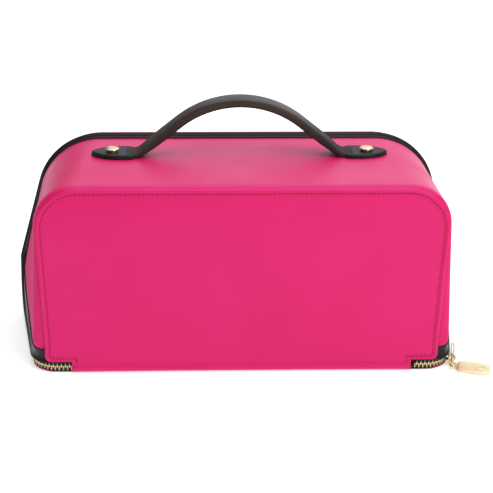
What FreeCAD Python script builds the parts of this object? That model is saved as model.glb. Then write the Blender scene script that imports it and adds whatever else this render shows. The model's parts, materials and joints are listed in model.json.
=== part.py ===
"""Makeup train case: a deep front tray that zips to an L-shaped flap of base and back, with a bridge handle.

Row frame in millimetres: X across the case, Y from front to back, Z up, origin on the base under the middle.
Each sub-part is written to parts/NODE.step.
"""

import FreeCAD
import Part
import math
import os

from FreeCAD import Vector

# Case: stations from the front panel to the zip line, each an outline with slanted sides.
# Half widths are half_zip at the zip's height, half_low at the knee, and half_top where the slanted side
# meets the top line. The lower front corners are rounded off between the front and the cheek.
FRONT_Y = -55.0
SHOULDER_Y = FRONT_Y + 5.0
CHEEK_Y = FRONT_Y + 11.5
BACK_Y = 53.0
FAR_Y = BACK_Y + 12.0
FRONT_STATION = dict(
    y=FRONT_Y, half_zip=113.0, half_low=121.0, knee=20.0, half_top=124.6, top=117.5, radius=24.0
)
SHOULDER_STATION = dict(
    y=SHOULDER_Y, half_zip=123.5, half_low=127.5, knee=20.0, half_top=125.6, top=119.5, radius=26.0
)
CHEEK_STATION = dict(
    y=CHEEK_Y, half_zip=127.7, half_low=128.2, knee=21.1, half_top=125.1, top=119.5, radius=26.9
)
BACK_STATION = dict(
    y=BACK_Y, half_zip=139.0, half_low=139.0, knee=38.0, half_top=117.0, top=119.5, radius=40.0
)
FAR_STATION = dict(BACK_STATION, y=FAR_Y)

# Bounds of the cutting solids, and how close two places count as one.
NEAR_Y = FRONT_Y - 30.0
BELOW_FLOOR = -10.0
REACH = 170.0
HEADROOM = 140.0
OVERCUT = 1.0
TOUCH = 0.01

# Wall layers, as depths under the outer surface.
SKIN = 1.6
LINING = 0.8
TAPE_FROM = 0.4
TAPE_TO = 1.2
TOOTH_PROUD = 0.5
TOOTH_DEPTH = 1.9

# Zip line seen from the side: along the floor, round the back bottom corner, up the back.
ZIP_Z = 3.4
BEND_RADIUS = 27.0
ROW_GAP = 0.35
ROW_WIDTH = 1.35
TAPE_WIDTH = 1.3
STRIP_FROM = ROW_GAP + ROW_WIDTH + TAPE_WIDTH
ZIP_END_X = 104.0
STOP_LENGTH = 2.4
STOP_DEPTH = 2.0
STOP_FROM = 1.4
STOP_OFF_BOARD = 0.1
STOP_UNDER_ZIP = 0.3
ROWS_TOP_Z = ZIP_Z + 6.0

# Strip to gusset border, seen from the side.
BORDER_FRONT_Z = 15.5
BORDER_FALL = 3.0
BORDER_REAR_Z = 22.0
BORDER_REAR_Y = BACK_Y - 44.0
BORDER_TOP_Z = 58.0
BORDER_BACK_Y = BACK_Y - 10.5

# Flap: base and back.
BOARD_FROM = ROW_GAP + ROW_WIDTH
BOARD = 0.8
COVER = 0.9
LINING_THICK = 0.7
COVER_FROM = BOARD_FROM + BOARD
FLAP_OUT = COVER_FROM + COVER
BEND_START_Y = BACK_Y - BEND_RADIUS
BEND_END_Z = ZIP_Z + BEND_RADIUS
BOARD_INSET = 1.0
LINING_INSET = 6.0
EDGING_WIDTH = 9.0

# Front panel and its leather hinge.
PANEL = 2.2
PANEL_Y = FRONT_Y - PANEL
PANEL_OUTLINE = dict(half_zip=120.2, half_low=120.2, knee=20.0, half_top=126.2, top=118.0, radius=25.0)
NOTCH_Z = 7.2
HINGE_RADIUS = 3.4
TRAY_BOARD = 1.4
TRAY_BOARD_Z = 9.0
CORNER_ROOM_X = 1.5
CORNER_ROOM_Y = 8.0
CORNER_ROOM_Z = 4.0

# Handle.
HANDLE_Y = FRONT_Y + 62.0
TOP_Z = BACK_STATION["top"]
ARCH_TOP = 157.0
ARCH_RADIUS = 62.5
ARCH_SLOPE = 38.8
STRAP = 5.0
STRAP_WIDTH = 15.0
GRIP_FROM_Z = 129.0
GRIP_ROUND = 1.6
GRIP_LONG_EDGE = 20.0
HANDLE_CORE = 2.4
CORE_WIDTH = 9.0
CORE_REACH = 34.0
TAB = 3.0
TAB_HALF_WIDTH = 10.5
TAB_FROM_X = 68.8
TAB_STRAIGHT_X = 76.0
TAB_BULGE_X = 86.2
TAB_BULGE_HALF_WIDTH = 6.72
TAB_TIP_X = 92.3
RIVET_X = 79.1
RIVET_POST = 1.9
RIVET_HOLE = 2.0
RIVET_HOLE_REACH = 15.0
RIVET_SINK = 0.2
RIVET_HEAD = 4.4
RIVET_HEAD_THICK = 1.4
RIVET_ROUND = 0.5
RIVET_NECK = 0.9
WASHER = 6.0
WASHER_THICK = 0.8

# Slider and pull, laid out along the right side wall.
WALL_SLOPE = math.atan2(BACK_STATION["half_zip"] - CHEEK_STATION["half_zip"], BACK_Y - CHEEK_Y)
SLIDER_Y = FRONT_Y + 11.0
SLIDER_HALF_LENGTH = 5.5
SLIDER_HALF_WIDTH = 3.2
PLATE_GAP = 1.1
INNER_GAP = 0.75
PLATE = 1.2
PLATE_TAIL = 0.72
NECK_THICK = 0.4
NECK_FRONT = -4.0
NECK_REAR = 0.5
INNER_PLATE_FRONT = -0.5
INNER_PLATE_FOOT = -0.8
INNER_PLATE_TOP = 2.5
CROWN_RISE = 3.2
CROWN_HALF_LENGTH = 4.4
CROWN_WALL = 0.9
CROWN_HALF_WIDTH = 1.1
EYE_OUT = 0.8
EYE_RISE = 3.0
EYE_HEIGHT = 8.6
EYE_WIRE = 1.1
EYE_STEM = 0.7
EYE_ROUND = 2.4
EYE_SINK = 0.1
EYE_Y = -3.5
PIN_RADIUS = 0.6
LINK_LENGTH = 10.0
LINK_HALF_HEIGHT = 3.0
LINK_LEG = 1.1
LINK_HALF_THICK = 1.0
LINK_BAR = 0.6
PULL_LENGTH = 24.0
PULL_HALF_WIDTH = 4.7
PULL_NECK = 2.3
PULL_NECK_LENGTH = 3.4
PULL_SLOT_WALL = 0.8
PULL_BAR_ROOM = 0.4
PULL_THICK = 1.3
PULL_TURN = -20.0
PULL_TILT = 22.0
PULL_LIFT = 0.15

# Brush sleeve inside the back: a padded backing and a flat elastic band sewn across it.
SLEEVE_HALF_WIDTH = 84.0
SLEEVE_THICK = 0.9
SLEEVE_TOP = 100.0
SLEEVE_BOTTOM = 38.0
BAND_HALF_WIDTH = 80.0
BAND_THICK = 0.9
BAND_BOTTOM = 58.0
BAND_TOP = 80.0


def xyz(x, y, z):
    """A point or direction."""
    return Vector(x, y, z)


def unit(x, z):
    """A direction in the XZ plane with length one."""
    size = math.hypot(x, z)
    return x / size, z / size


def box(x0, x1, y0, y1, z0, z1):
    """A box between two corners."""
    return Part.makeBox(x1 - x0, y1 - y0, z1 - z0, xyz(x0, y0, z0))


def mirror_x(shape):
    """The same shape on the other side of the middle plane."""
    return shape.mirror(xyz(0, 0, 0), xyz(1, 0, 0))


def right_side(half_low, knee, half_top, top, radius, inset):
    """Corner points of an outline's right side, taken in by inset: knee, arc start, arc middle, arc end."""
    slant = unit(half_top - half_low, top - knee)
    side_in = (-1.0, 0.0)
    slant_in = (-slant[1], slant[0])
    top_in = (0.0, -1.0)

    def taken_in(x, z, first, second):
        share = inset / (1 + first[0] * second[0] + first[1] * second[1])
        return x + (first[0] + second[0]) * share, z + (first[1] + second[1]) * share

    knee_at = taken_in(half_low, knee, side_in, slant_in)
    corner = taken_in(half_top, top, slant_in, top_in)
    bend = radius - inset
    turn = math.acos(-slant[0])
    reach = bend * math.tan(turn / 2)
    start = (corner[0] - slant[0] * reach, corner[1] - slant[1] * reach)
    end = (corner[0] - reach, corner[1])
    centre = (end[0], end[1] - bend)
    out = unit(corner[0] - centre[0], corner[1] - centre[1])
    middle = (centre[0] + out[0] * bend, centre[1] + out[1] * bend)
    return knee_at, start, middle, end


def outline(y, half_zip, half_low, knee, half_top, top, radius, inset=0.0, foot=BELOW_FLOOR):
    """A closed wire in the plane of y: flat foot, sides that bend at the knee, rounded top corners."""
    knee_at, start, middle, end = right_side(half_low, knee, half_top, top, radius, inset)
    widening = (half_low - half_zip) / (knee - ZIP_Z)
    low = (half_low - widening * (knee - foot) - inset, foot)

    def right(point):
        return xyz(point[0], y, point[1])

    def left(point):
        return xyz(-point[0], y, point[1])

    edges = [
        Part.makeLine(left(low), right(low)),
        Part.makeLine(right(low), right(knee_at)),
        Part.makeLine(right(knee_at), right(start)),
        Part.Arc(right(start), right(middle), right(end)).toShape(),
        Part.makeLine(right(end), left(end)),
        Part.Arc(left(end), left(middle), left(start)).toShape(),
        Part.makeLine(left(start), left(knee_at)),
        Part.makeLine(left(knee_at), left(low)),
    ]
    return Part.Wire(edges)


def case_form(inset):
    """The case's outer form, taken in by inset all round, from the front station past the back."""
    stations = (FRONT_STATION, SHOULDER_STATION, CHEEK_STATION, BACK_STATION, FAR_STATION)
    wires = [outline(inset=inset, **station) for station in stations]
    return Part.makeLoft(wires, True, True)


def wall(outer, inner):
    """The wall layer between two depths under the outer surface."""
    return case_form(outer).cut(case_form(inner))


def inside_zip(offset):
    """Everything on the tray's side of the zip line moved in by offset (out, if negative)."""
    low = ZIP_Z + offset
    back = BACK_Y - offset
    bend = BEND_RADIUS - offset
    diagonal = bend * math.sqrt(0.5)
    start = xyz(-REACH, BEND_START_Y, low)
    middle = xyz(-REACH, BEND_START_Y + diagonal, BEND_END_Z - diagonal)
    end = xyz(-REACH, back, BEND_END_Z)
    edges = [
        Part.makeLine(xyz(-REACH, NEAR_Y, low), start),
        Part.Arc(start, middle, end).toShape(),
        Part.makeLine(end, xyz(-REACH, back, HEADROOM)),
        Part.makeLine(xyz(-REACH, back, HEADROOM), xyz(-REACH, NEAR_Y, HEADROOM)),
        Part.makeLine(xyz(-REACH, NEAR_Y, HEADROOM), xyz(-REACH, NEAR_Y, low)),
    ]
    return Part.Face(Part.Wire(edges)).extrude(xyz(2 * REACH, 0, 0))


def zip_band(near, far):
    """The band between two offsets from the zip line, near the smaller."""
    return inside_zip(near).cut(inside_zip(far))


def inside_border():
    """Everything on the gusset's side of its border with the black strip."""
    low = BORDER_FRONT_Z - BORDER_FALL
    curve_y = BORDER_BACK_Y - BORDER_REAR_Y
    curve_z = BORDER_TOP_Z - BORDER_REAR_Z
    share = math.sqrt(0.5)
    start = xyz(-REACH, BORDER_REAR_Y, BORDER_REAR_Z)
    middle = xyz(-REACH, BORDER_REAR_Y + curve_y * share, BORDER_TOP_Z - curve_z * share)
    end = xyz(-REACH, BORDER_BACK_Y, BORDER_TOP_Z)
    edges = [
        Part.makeLine(xyz(-REACH, NEAR_Y, low), start),
        Part.Arc(start, middle, end).toShape(),
        Part.makeLine(end, xyz(-REACH, BORDER_BACK_Y, HEADROOM)),
        Part.makeLine(xyz(-REACH, BORDER_BACK_Y, HEADROOM), xyz(-REACH, NEAR_Y, HEADROOM)),
        Part.makeLine(xyz(-REACH, NEAR_Y, HEADROOM), xyz(-REACH, NEAR_Y, low)),
    ]
    return Part.Face(Part.Wire(edges)).extrude(xyz(2 * REACH, 0, 0))


def front_corners(outer, inner, top):
    """The two short returns of a wall layer across the front, from the side walls in to the zip's ends."""
    strip = box(ZIP_END_X, REACH, FRONT_Y + outer, FRONT_Y + inner, -OVERCUT, top)
    return strip.fuse(mirror_x(strip)).common(case_form(inner))


def wall_with_corners(outer, inner, top):
    """A wall layer together with its returns across the front."""
    return wall(outer, inner).fuse(front_corners(max(outer, 0.0), inner, top)).removeSplitter()


def rivet_holes(radius):
    """Two upright cylinders where the handle's rivets go."""
    reach = RIVET_HOLE_REACH
    post = Part.makeCylinder(radius, 2 * reach, xyz(RIVET_X, HANDLE_Y, TOP_Z - reach))
    return post.fuse(mirror_x(post))


def gusset():
    """Pink wall over the top and down both sides."""
    return wall(0, SKIN).common(inside_border()).cut(rivet_holes(RIVET_HOLE))


def tray_strip():
    """Black leather strip between the gusset and the zip, with its returns across the front."""
    band = inside_zip(STRIP_FROM).cut(inside_border())
    return wall_with_corners(0, SKIN, BORDER_FRONT_Z + BORDER_FALL).common(band)


def tray_tape():
    """Zip tape showing between the strip and the tray's row of teeth."""
    return wall_with_corners(TAPE_FROM, TAPE_TO, ROWS_TOP_Z).common(zip_band(ROW_GAP + ROW_WIDTH, STRIP_FROM))


def tray_teeth():
    """Rail that stands for the tray's row of teeth."""
    return wall_with_corners(-TOOTH_PROUD, TOOTH_DEPTH, ROWS_TOP_Z).common(
        zip_band(ROW_GAP, ROW_GAP + ROW_WIDTH)
    )


def tray_lining():
    """Cloth lining of the tray's top and sides."""
    cloth = wall(SKIN, SKIN + LINING).common(inside_zip(STRIP_FROM))
    cloth = cloth.common(box(-REACH, REACH, FRONT_Y + SKIN, FAR_Y, 0, HEADROOM))
    return cloth.cut(rivet_holes(RIVET_HOLE))


def tray_floor(near, far, low):
    """A plate just behind the front panel, cut clear of the zip's ends."""
    plate = case_form(SKIN + LINING).common(
        box(-REACH, REACH, FRONT_Y + near, FRONT_Y + far, low, HEADROOM)
    )
    room = box(
        ZIP_END_X - CORNER_ROOM_X, REACH,
        FRONT_Y - OVERCUT, FRONT_Y + CORNER_ROOM_Y,
        -OVERCUT, BORDER_FRONT_Z + CORNER_ROOM_Z,
    )
    return plate.cut(room.fuse(mirror_x(room)))


def tray_board():
    """Stiff board behind the front panel."""
    return tray_floor(0, TRAY_BOARD, TRAY_BOARD_Z)


def tray_floor_lining():
    """Cloth lining over the board."""
    return tray_floor(TRAY_BOARD, TRAY_BOARD + LINING, TRAY_BOARD_Z - LINING)


def panel_wire(y, inset, foot):
    """The front panel's outline."""
    return outline(y, inset=inset, foot=foot, **PANEL_OUTLINE)


def front_panel():
    """Leather front panel: rounded top corners, and a tongue between two notches at the foot."""
    sheet = Part.Face(panel_wire(PANEL_Y, 0, HINGE_RADIUS)).extrude(xyz(0, PANEL, 0))
    notch = box(ZIP_END_X, REACH, PANEL_Y - OVERCUT, FRONT_Y + OVERCUT, -OVERCUT, NOTCH_Z)
    return sheet.cut(notch.fuse(mirror_x(notch)))


def hinge_strip():
    """Leather bend that joins the front panel's tongue to the base."""
    centre = xyz(-ZIP_END_X, PANEL_Y + HINGE_RADIUS, HINGE_RADIUS)
    along = xyz(1, 0, 0)
    length = 2 * ZIP_END_X
    tube = Part.makeCylinder(HINGE_RADIUS, length, centre, along)
    tube = tube.cut(Part.makeCylinder(HINGE_RADIUS - COVER, length, centre, along))
    quarter = box(-REACH, REACH, PANEL_Y, centre.y, 0, centre.z)
    return tube.common(quarter)


def flap(near, far, inset=0.0):
    """A layer of the L-shaped flap between two depths outside the zip line."""
    layer = zip_band(-far, -near).common(case_form(inset))
    front = PANEL_Y - OVERCUT
    bend_room = box(-ZIP_END_X, ZIP_END_X, front, PANEL_Y + HINGE_RADIUS, -OVERCUT, ZIP_Z)
    border = box(-REACH, REACH, front, FRONT_Y + inset, -OVERCUT, ZIP_Z)
    return layer.cut(bend_room.fuse(border))


def base_part(shape):
    """The share of the flap that lies on the floor."""
    return shape.common(box(-REACH, REACH, PANEL_Y, BEND_START_Y, -OVERCUT, BEND_END_Z))


def bend_part(shape):
    """The share of the flap in the bottom back bend."""
    return shape.common(box(-REACH, REACH, BEND_START_Y, FAR_Y, -OVERCUT, BEND_END_Z))


def back_part(shape):
    """The share of the flap that stands up as the back."""
    return shape.common(box(-REACH, REACH, 0, FAR_Y, BEND_END_Z, HEADROOM))


def flap_teeth():
    """Rail that stands for the flap's row of teeth."""
    return wall_with_corners(-TOOTH_PROUD, TOOTH_DEPTH, ROWS_TOP_Z).common(
        zip_band(-ROW_GAP - ROW_WIDTH, -ROW_GAP)
    )


def back_strip():
    """Black leather edging round the back's outer face."""
    edging = zip_band(-FLAP_OUT - SKIN, -FLAP_OUT)
    return back_part(edging.common(case_form(0)).cut(case_form(EDGING_WIDTH)))


def zip_stops():
    """Metal end stops of the zip, one at each end."""
    near = FRONT_Y + STOP_FROM
    low = COVER + BOARD + STOP_OFF_BOARD
    top = ZIP_Z - STOP_UNDER_ZIP
    stop = box(ZIP_END_X - STOP_LENGTH, ZIP_END_X, near, near + STOP_DEPTH, low, top)
    return stop.fuse(mirror_x(stop))


def brush_sleeve():
    """Padded backing for brushes, on the back's lining."""
    face = BACK_Y + BOARD_FROM - LINING_THICK
    half = SLEEVE_HALF_WIDTH
    return box(-half, half, face - SLEEVE_THICK, face, SLEEVE_BOTTOM, SLEEVE_TOP)


def brush_band():
    """Elastic band across the sleeve, flat while it holds no brushes."""
    face = BACK_Y + BOARD_FROM - LINING_THICK - SLEEVE_THICK
    half = BAND_HALF_WIDTH
    return box(-half, half, face - BAND_THICK, face, BAND_BOTTOM, BAND_TOP)


def handle_side():
    """The whole strap seen from the front, from the case's top on one side to the other, as a face."""
    slope = math.radians(ARCH_SLOPE)
    centre_z = ARCH_TOP - ARCH_RADIUS

    def curve(radius):
        tangent_x = radius * math.sin(slope)
        tangent_z = centre_z + radius * math.cos(slope)
        foot_x = tangent_x + (tangent_z - TOP_Z) / math.tan(slope)
        return xyz(tangent_x, 0, tangent_z), xyz(foot_x, 0, TOP_Z), xyz(0, 0, centre_z + radius)

    def other(point):
        return xyz(-point.x, point.y, point.z)

    out_tangent, out_foot, out_top = curve(ARCH_RADIUS)
    in_tangent, in_foot, in_top = curve(ARCH_RADIUS - STRAP)
    edges = [
        Part.makeLine(out_foot, out_tangent),
        Part.Arc(out_tangent, out_top, other(out_tangent)).toShape(),
        Part.makeLine(other(out_tangent), other(out_foot)),
        Part.makeLine(other(out_foot), other(in_foot)),
        Part.makeLine(other(in_foot), other(in_tangent)),
        Part.Arc(other(in_tangent), in_top, in_tangent).toShape(),
        Part.makeLine(in_tangent, in_foot),
        Part.makeLine(in_foot, out_foot),
    ]
    return Part.Face(Part.Wire(edges))


def handle_strap(width):
    """The strap as a solid of the given width, over the handle's middle line."""
    side = handle_side()
    side.translate(xyz(0, HANDLE_Y - width / 2, 0))
    return side.extrude(xyz(0, width, 0))


def handle_room(x0, x1, low, high):
    """A box wider than the strap over a stretch of it."""
    return box(x0, x1, HANDLE_Y - STRAP_WIDTH, HANDLE_Y + STRAP_WIDTH, low, high)


def handle_core():
    """Cord filler inside the grip."""
    radius = ARCH_RADIUS - STRAP / 2
    half = HANDLE_CORE / 2
    centre = xyz(0, HANDLE_Y - CORE_WIDTH / 2, ARCH_TOP - ARCH_RADIUS)
    along = xyz(0, 1, 0)
    ring = Part.makeCylinder(radius + half, CORE_WIDTH, centre, along)
    ring = ring.cut(Part.makeCylinder(radius - half, CORE_WIDTH, centre, along))
    return ring.common(handle_room(-CORE_REACH, CORE_REACH, TOP_Z, ARCH_TOP))


def handle_grip():
    """Rolled leather grip above the two bends, with rounded edges."""
    room = handle_room(-REACH, REACH, GRIP_FROM_Z, ARCH_TOP + OVERCUT)
    grip = handle_strap(STRAP_WIDTH).common(room)
    long_edges = [
        edge
        for edge in grip.Edges
        if edge.Length > GRIP_LONG_EDGE and abs(edge.Vertexes[0].Y - edge.Vertexes[-1].Y) < TOUCH
    ]
    return grip.makeFillet(GRIP_ROUND, long_edges).cut(handle_core())


def handle_root(side):
    """Flexing foot of the strap between its tab and the grip."""
    strap = handle_strap(STRAP_WIDTH).common(handle_room(0, TAB_FROM_X, TOP_Z, GRIP_FROM_Z))
    return strap if side > 0 else mirror_x(strap)


def handle_tab(side):
    """Leaf-shaped end tab, riveted to the gusset."""
    half = TAB_HALF_WIDTH
    bulge = TAB_BULGE_HALF_WIDTH
    tip = xyz(TAB_TIP_X, 0, 0)
    front_end = xyz(TAB_STRAIGHT_X, -half, 0)
    back_end = xyz(TAB_STRAIGHT_X, half, 0)
    edges = [
        Part.makeLine(xyz(TAB_FROM_X, -half, 0), front_end),
        Part.Arc(front_end, xyz(TAB_BULGE_X, -bulge, 0), tip).toShape(),
        Part.Arc(tip, xyz(TAB_BULGE_X, bulge, 0), back_end).toShape(),
        Part.makeLine(back_end, xyz(TAB_FROM_X, half, 0)),
        Part.makeLine(xyz(TAB_FROM_X, half, 0), xyz(TAB_FROM_X, -half, 0)),
    ]
    leaf = Part.Face(Part.Wire(edges)).extrude(xyz(0, 0, TAB))
    leaf.translate(xyz(0, HANDLE_Y, TOP_Z))
    leaf = leaf if side > 0 else mirror_x(leaf)
    return leaf.cut(rivet_holes(RIVET_HOLE))


def rivet(side):
    """Mushroom rivet: disc head on a short neck, and a post through tab, gusset and lining."""
    x = side * RIVET_X
    under = TOP_Z - SKIN - LINING - WASHER_THICK
    head_z = TOP_Z + TAB + RIVET_NECK
    post = Part.makeCylinder(RIVET_POST, head_z - under + RIVET_SINK, xyz(x, HANDLE_Y, under))
    head = Part.makeCylinder(RIVET_HEAD, RIVET_HEAD_THICK, xyz(x, HANDLE_Y, head_z))
    rim = [edge for edge in head.Edges if abs(edge.BoundBox.ZMin - head_z - RIVET_HEAD_THICK) < TOUCH]
    return post.fuse(head.makeFillet(RIVET_ROUND, rim[:1]))


def rivet_washers():
    """Washers under the lining, one for each rivet."""
    under = TOP_Z - SKIN - LINING - WASHER_THICK
    disc = Part.makeCylinder(WASHER, WASHER_THICK, xyz(RIVET_X, HANDLE_Y, under))
    return disc.fuse(mirror_x(disc)).cut(rivet_holes(RIVET_HOLE))


def onto_wall(shape):
    """Moves a shape from the slider's own frame, X out of the wall and Y along it, to the right wall."""
    wall_x = CHEEK_STATION["half_zip"] + (SLIDER_Y - CHEEK_Y) * math.tan(WALL_SLOPE)
    shape.rotate(xyz(0, 0, 0), xyz(0, 0, 1), -math.degrees(WALL_SLOPE))
    shape.translate(xyz(wall_x, SLIDER_Y, ZIP_Z))
    return shape


def plate(x0, x1, front, low, high):
    """A slider plate, wide at its front and narrower at the tail."""
    tail = SLIDER_HALF_LENGTH
    points = [
        xyz(x0, front, low),
        xyz(x0, 0, low),
        xyz(x0, tail, low * PLATE_TAIL),
        xyz(x0, tail, high * PLATE_TAIL),
        xyz(x0, 0, high),
        xyz(x0, front, high),
    ]
    return Part.Face(Part.makePolygon(points + points[:1])).extrude(xyz(x1 - x0, 0, 0))


def slider_body():
    """Slider: outer and inner plates joined by a thin neck, a crown for the pull and a lock eye above."""
    foot = PLATE_GAP + PLATE
    inner_face = -TOOTH_DEPTH - INNER_GAP
    half = SLIDER_HALF_WIDTH
    outer = plate(PLATE_GAP, foot, -SLIDER_HALF_LENGTH, -half, half)
    inner = plate(inner_face - PLATE, inner_face, INNER_PLATE_FRONT, INNER_PLATE_FOOT, INNER_PLATE_TOP)
    thin = NECK_THICK / 2
    neck = box(inner_face - PLATE / 2, PLATE_GAP + PLATE / 2, NECK_FRONT, NECK_REAR, -thin, thin)
    return onto_wall(outer.fuse([inner, neck, crown(foot), lock_eye()]).removeSplitter())


def crown(foot):
    """Bridge over the slider's outer plate, open from side to side, that holds the pull's pin."""
    length = CROWN_HALF_LENGTH
    width = CROWN_HALF_WIDTH
    hollow = length - CROWN_WALL
    wide = width + OVERCUT
    bridge = box(foot - PLATE / 2, foot + CROWN_RISE, -length, length, -width, width)
    return bridge.cut(box(foot, foot + CROWN_RISE - CROWN_WALL, -hollow, hollow, -wide, wide))


def lock_eye():
    """Tall, shallow loop for a lock, standing on the slider's upper edge."""
    low = SLIDER_HALF_WIDTH - EYE_SINK
    near = PLATE_GAP + EYE_OUT
    far = near + EYE_RISE
    front = EYE_Y - EYE_WIRE / 2
    rear = EYE_Y + EYE_WIRE / 2
    loop = box(near, far, front, rear, low, low + EYE_HEIGHT)
    outer_edges = [edge for edge in loop.Edges if edge.CenterOfMass.x > far - TOUCH and is_along_y(edge)]
    loop = loop.makeFillet(EYE_ROUND, outer_edges)
    top = low + EYE_HEIGHT - EYE_WIRE
    window = box(near + EYE_STEM, far - EYE_WIRE, front - OVERCUT, rear + OVERCUT, low + EYE_WIRE, top)
    return loop.cut(window)


def is_along_y(edge):
    """True for a straight edge that runs along Y."""
    first, last = edge.Vertexes[0], edge.Vertexes[-1]
    return math.hypot(first.X - last.X, first.Z - last.Z) < TOUCH


def pin_x():
    """Distance of the pull's pivot from the wall, in the slider's frame."""
    return PLATE_GAP + PLATE + (CROWN_RISE - CROWN_WALL) / 2


def pull_link():
    """Clevis that hangs on the crown: an upright pin through the crown, two round-ended legs and a bar."""
    x = pin_x()
    half = LINK_HALF_HEIGHT
    thick = LINK_HALF_THICK
    end = -LINK_LENGTH
    parts = [
        Part.makeCylinder(PIN_RADIUS, 2 * half, xyz(x, 0, -half)),
        Part.makeCylinder(LINK_BAR, 2 * half, xyz(x, end, -half)),
    ]
    for low in (-half, half - LINK_LEG):
        parts.append(box(x - thick, x + thick, end, 0, low, low + LINK_LEG))
        parts.append(Part.makeCylinder(thick, LINK_LEG, xyz(x, 0, low)))
        parts.append(Part.makeCylinder(thick, LINK_LEG, xyz(x, end, low)))
    return onto_wall(parts[0].fuse(parts[1:]).removeSplitter())


def flat_pull():
    """Pull tab lying flat along X: slotted neck round the origin, straight sides, round far end."""
    half = PULL_HALF_WIDTH
    reach = LINK_BAR + PULL_BAR_ROOM + PULL_SLOT_WALL
    round_x = PULL_LENGTH - half
    body = box(PULL_NECK_LENGTH, round_x, -half, half, 0, PULL_THICK)
    neck = box(-reach, PULL_NECK_LENGTH + OVERCUT, -PULL_NECK, PULL_NECK, 0, PULL_THICK)
    round_end = Part.makeCylinder(half, PULL_THICK, xyz(round_x, 0, 0))
    tab = body.fuse([neck, round_end]).removeSplitter()
    slot = reach - PULL_SLOT_WALL
    slot_half = PULL_NECK - PULL_SLOT_WALL
    return tab.cut(box(-slot, slot, -slot_half, slot_half, -OVERCUT, PULL_THICK + OVERCUT))


def pull_tab():
    """The pull tab on the link's bar: tilted on its long axis, turned outwards, lower edge near the floor."""
    tab = flat_pull()
    tab.rotate(xyz(0, 0, 0), xyz(1, 0, 0), PULL_TILT)
    tab.rotate(xyz(0, 0, 0), xyz(0, 0, 1), PULL_TURN)
    end = onto_wall(Part.Vertex(xyz(pin_x(), -LINK_LENGTH, 0))).Point
    tab.translate(xyz(end.x, end.y, PULL_LIFT - tab.BoundBox.ZMin))
    return tab


def write(node, shape):
    """Checks a sub-part and writes it to its STEP file."""
    solids = shape.Solids
    volume = sum(solid.Volume for solid in solids)
    print(f"{node:22s} solids {len(solids)}  volume {volume:10.1f}  valid {shape.isValid()}")
    made = solids[0] if len(solids) == 1 else Part.makeCompound(solids)
    made.exportStep(os.path.join("parts", node + ".step"))


def main():
    """Builds every sub-part."""
    os.makedirs("parts", exist_ok=True)
    cover = flap(COVER_FROM, FLAP_OUT)
    board = flap(BOARD_FROM, COVER_FROM, BOARD_INSET)
    lining = flap(BOARD_FROM - LINING_THICK, BOARD_FROM, LINING_INSET)
    teeth = flap_teeth()
    layers = {"cover": cover, "board": board, "lining": lining, "teeth": teeth}
    for name, layer in layers.items():
        write("base_" + name, base_part(layer))
        write("bend_" + name, bend_part(layer))
        write("back_" + name, back_part(layer))
    write("back_strip", back_strip())
    write("hinge_strip", hinge_strip())
    write("zip_stops", zip_stops())
    write("brush_sleeve", brush_sleeve())
    write("brush_band", brush_band())
    write("front_panel", front_panel())
    write("tray_board", tray_board())
    write("tray_floor_lining", tray_floor_lining())
    write("gusset", gusset())
    write("tray_strip", tray_strip())
    write("tray_tape", tray_tape())
    write("tray_teeth", tray_teeth())
    write("tray_lining", tray_lining())
    write("handle_grip", handle_grip())
    write("handle_core", handle_core())
    for side, name in ((-1, "left"), (1, "right")):
        write("handle_root_" + name, handle_root(side))
        write("handle_tab_" + name, handle_tab(side))
        write("rivet_" + name, rivet(side))
    write("rivet_washers", rivet_washers())
    write("slider_body", slider_body())
    write("pull_link", pull_link())
    write("pull_tab", pull_tab())


main()
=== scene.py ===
"""Looks of a zip-round leather makeup case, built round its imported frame."""

import json
import logging
import math
from collections.abc import Callable, Iterable, Sequence
from dataclasses import astuple, dataclass, replace
from enum import Enum, IntEnum
from typing import Union

import bmesh
import bpy
from mathutils import Matrix, Vector, noise


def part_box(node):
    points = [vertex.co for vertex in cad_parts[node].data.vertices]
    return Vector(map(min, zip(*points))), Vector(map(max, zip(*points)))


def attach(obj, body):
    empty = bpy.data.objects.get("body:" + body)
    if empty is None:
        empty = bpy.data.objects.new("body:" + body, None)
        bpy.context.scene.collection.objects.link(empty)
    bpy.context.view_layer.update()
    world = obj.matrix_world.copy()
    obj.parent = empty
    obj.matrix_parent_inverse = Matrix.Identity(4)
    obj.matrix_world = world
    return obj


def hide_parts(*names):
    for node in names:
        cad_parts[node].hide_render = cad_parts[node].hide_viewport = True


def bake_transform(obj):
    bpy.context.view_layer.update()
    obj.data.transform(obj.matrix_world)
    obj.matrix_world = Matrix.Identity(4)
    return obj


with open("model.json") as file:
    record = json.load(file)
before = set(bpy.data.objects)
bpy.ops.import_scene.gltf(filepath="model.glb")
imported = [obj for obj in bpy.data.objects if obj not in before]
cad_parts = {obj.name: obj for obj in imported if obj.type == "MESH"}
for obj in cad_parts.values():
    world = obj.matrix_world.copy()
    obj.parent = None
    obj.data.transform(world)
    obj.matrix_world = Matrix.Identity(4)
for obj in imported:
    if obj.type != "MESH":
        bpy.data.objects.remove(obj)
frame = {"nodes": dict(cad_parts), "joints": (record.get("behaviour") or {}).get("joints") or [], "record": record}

LOG = logging.getLogger("makeup_case")
MM = 0.001
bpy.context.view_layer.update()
ZIP_Z = 0.0034
BASE_FRONT = -0.0538
FLAP_BELOW_ZIP = 0.0034
QUARTER = math.pi / 2

# What a socket takes: another node's output, or a value of its own.
Socket = Union["Field", float, tuple]


# ---------------------------------------------------------------- shader maths


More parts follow.
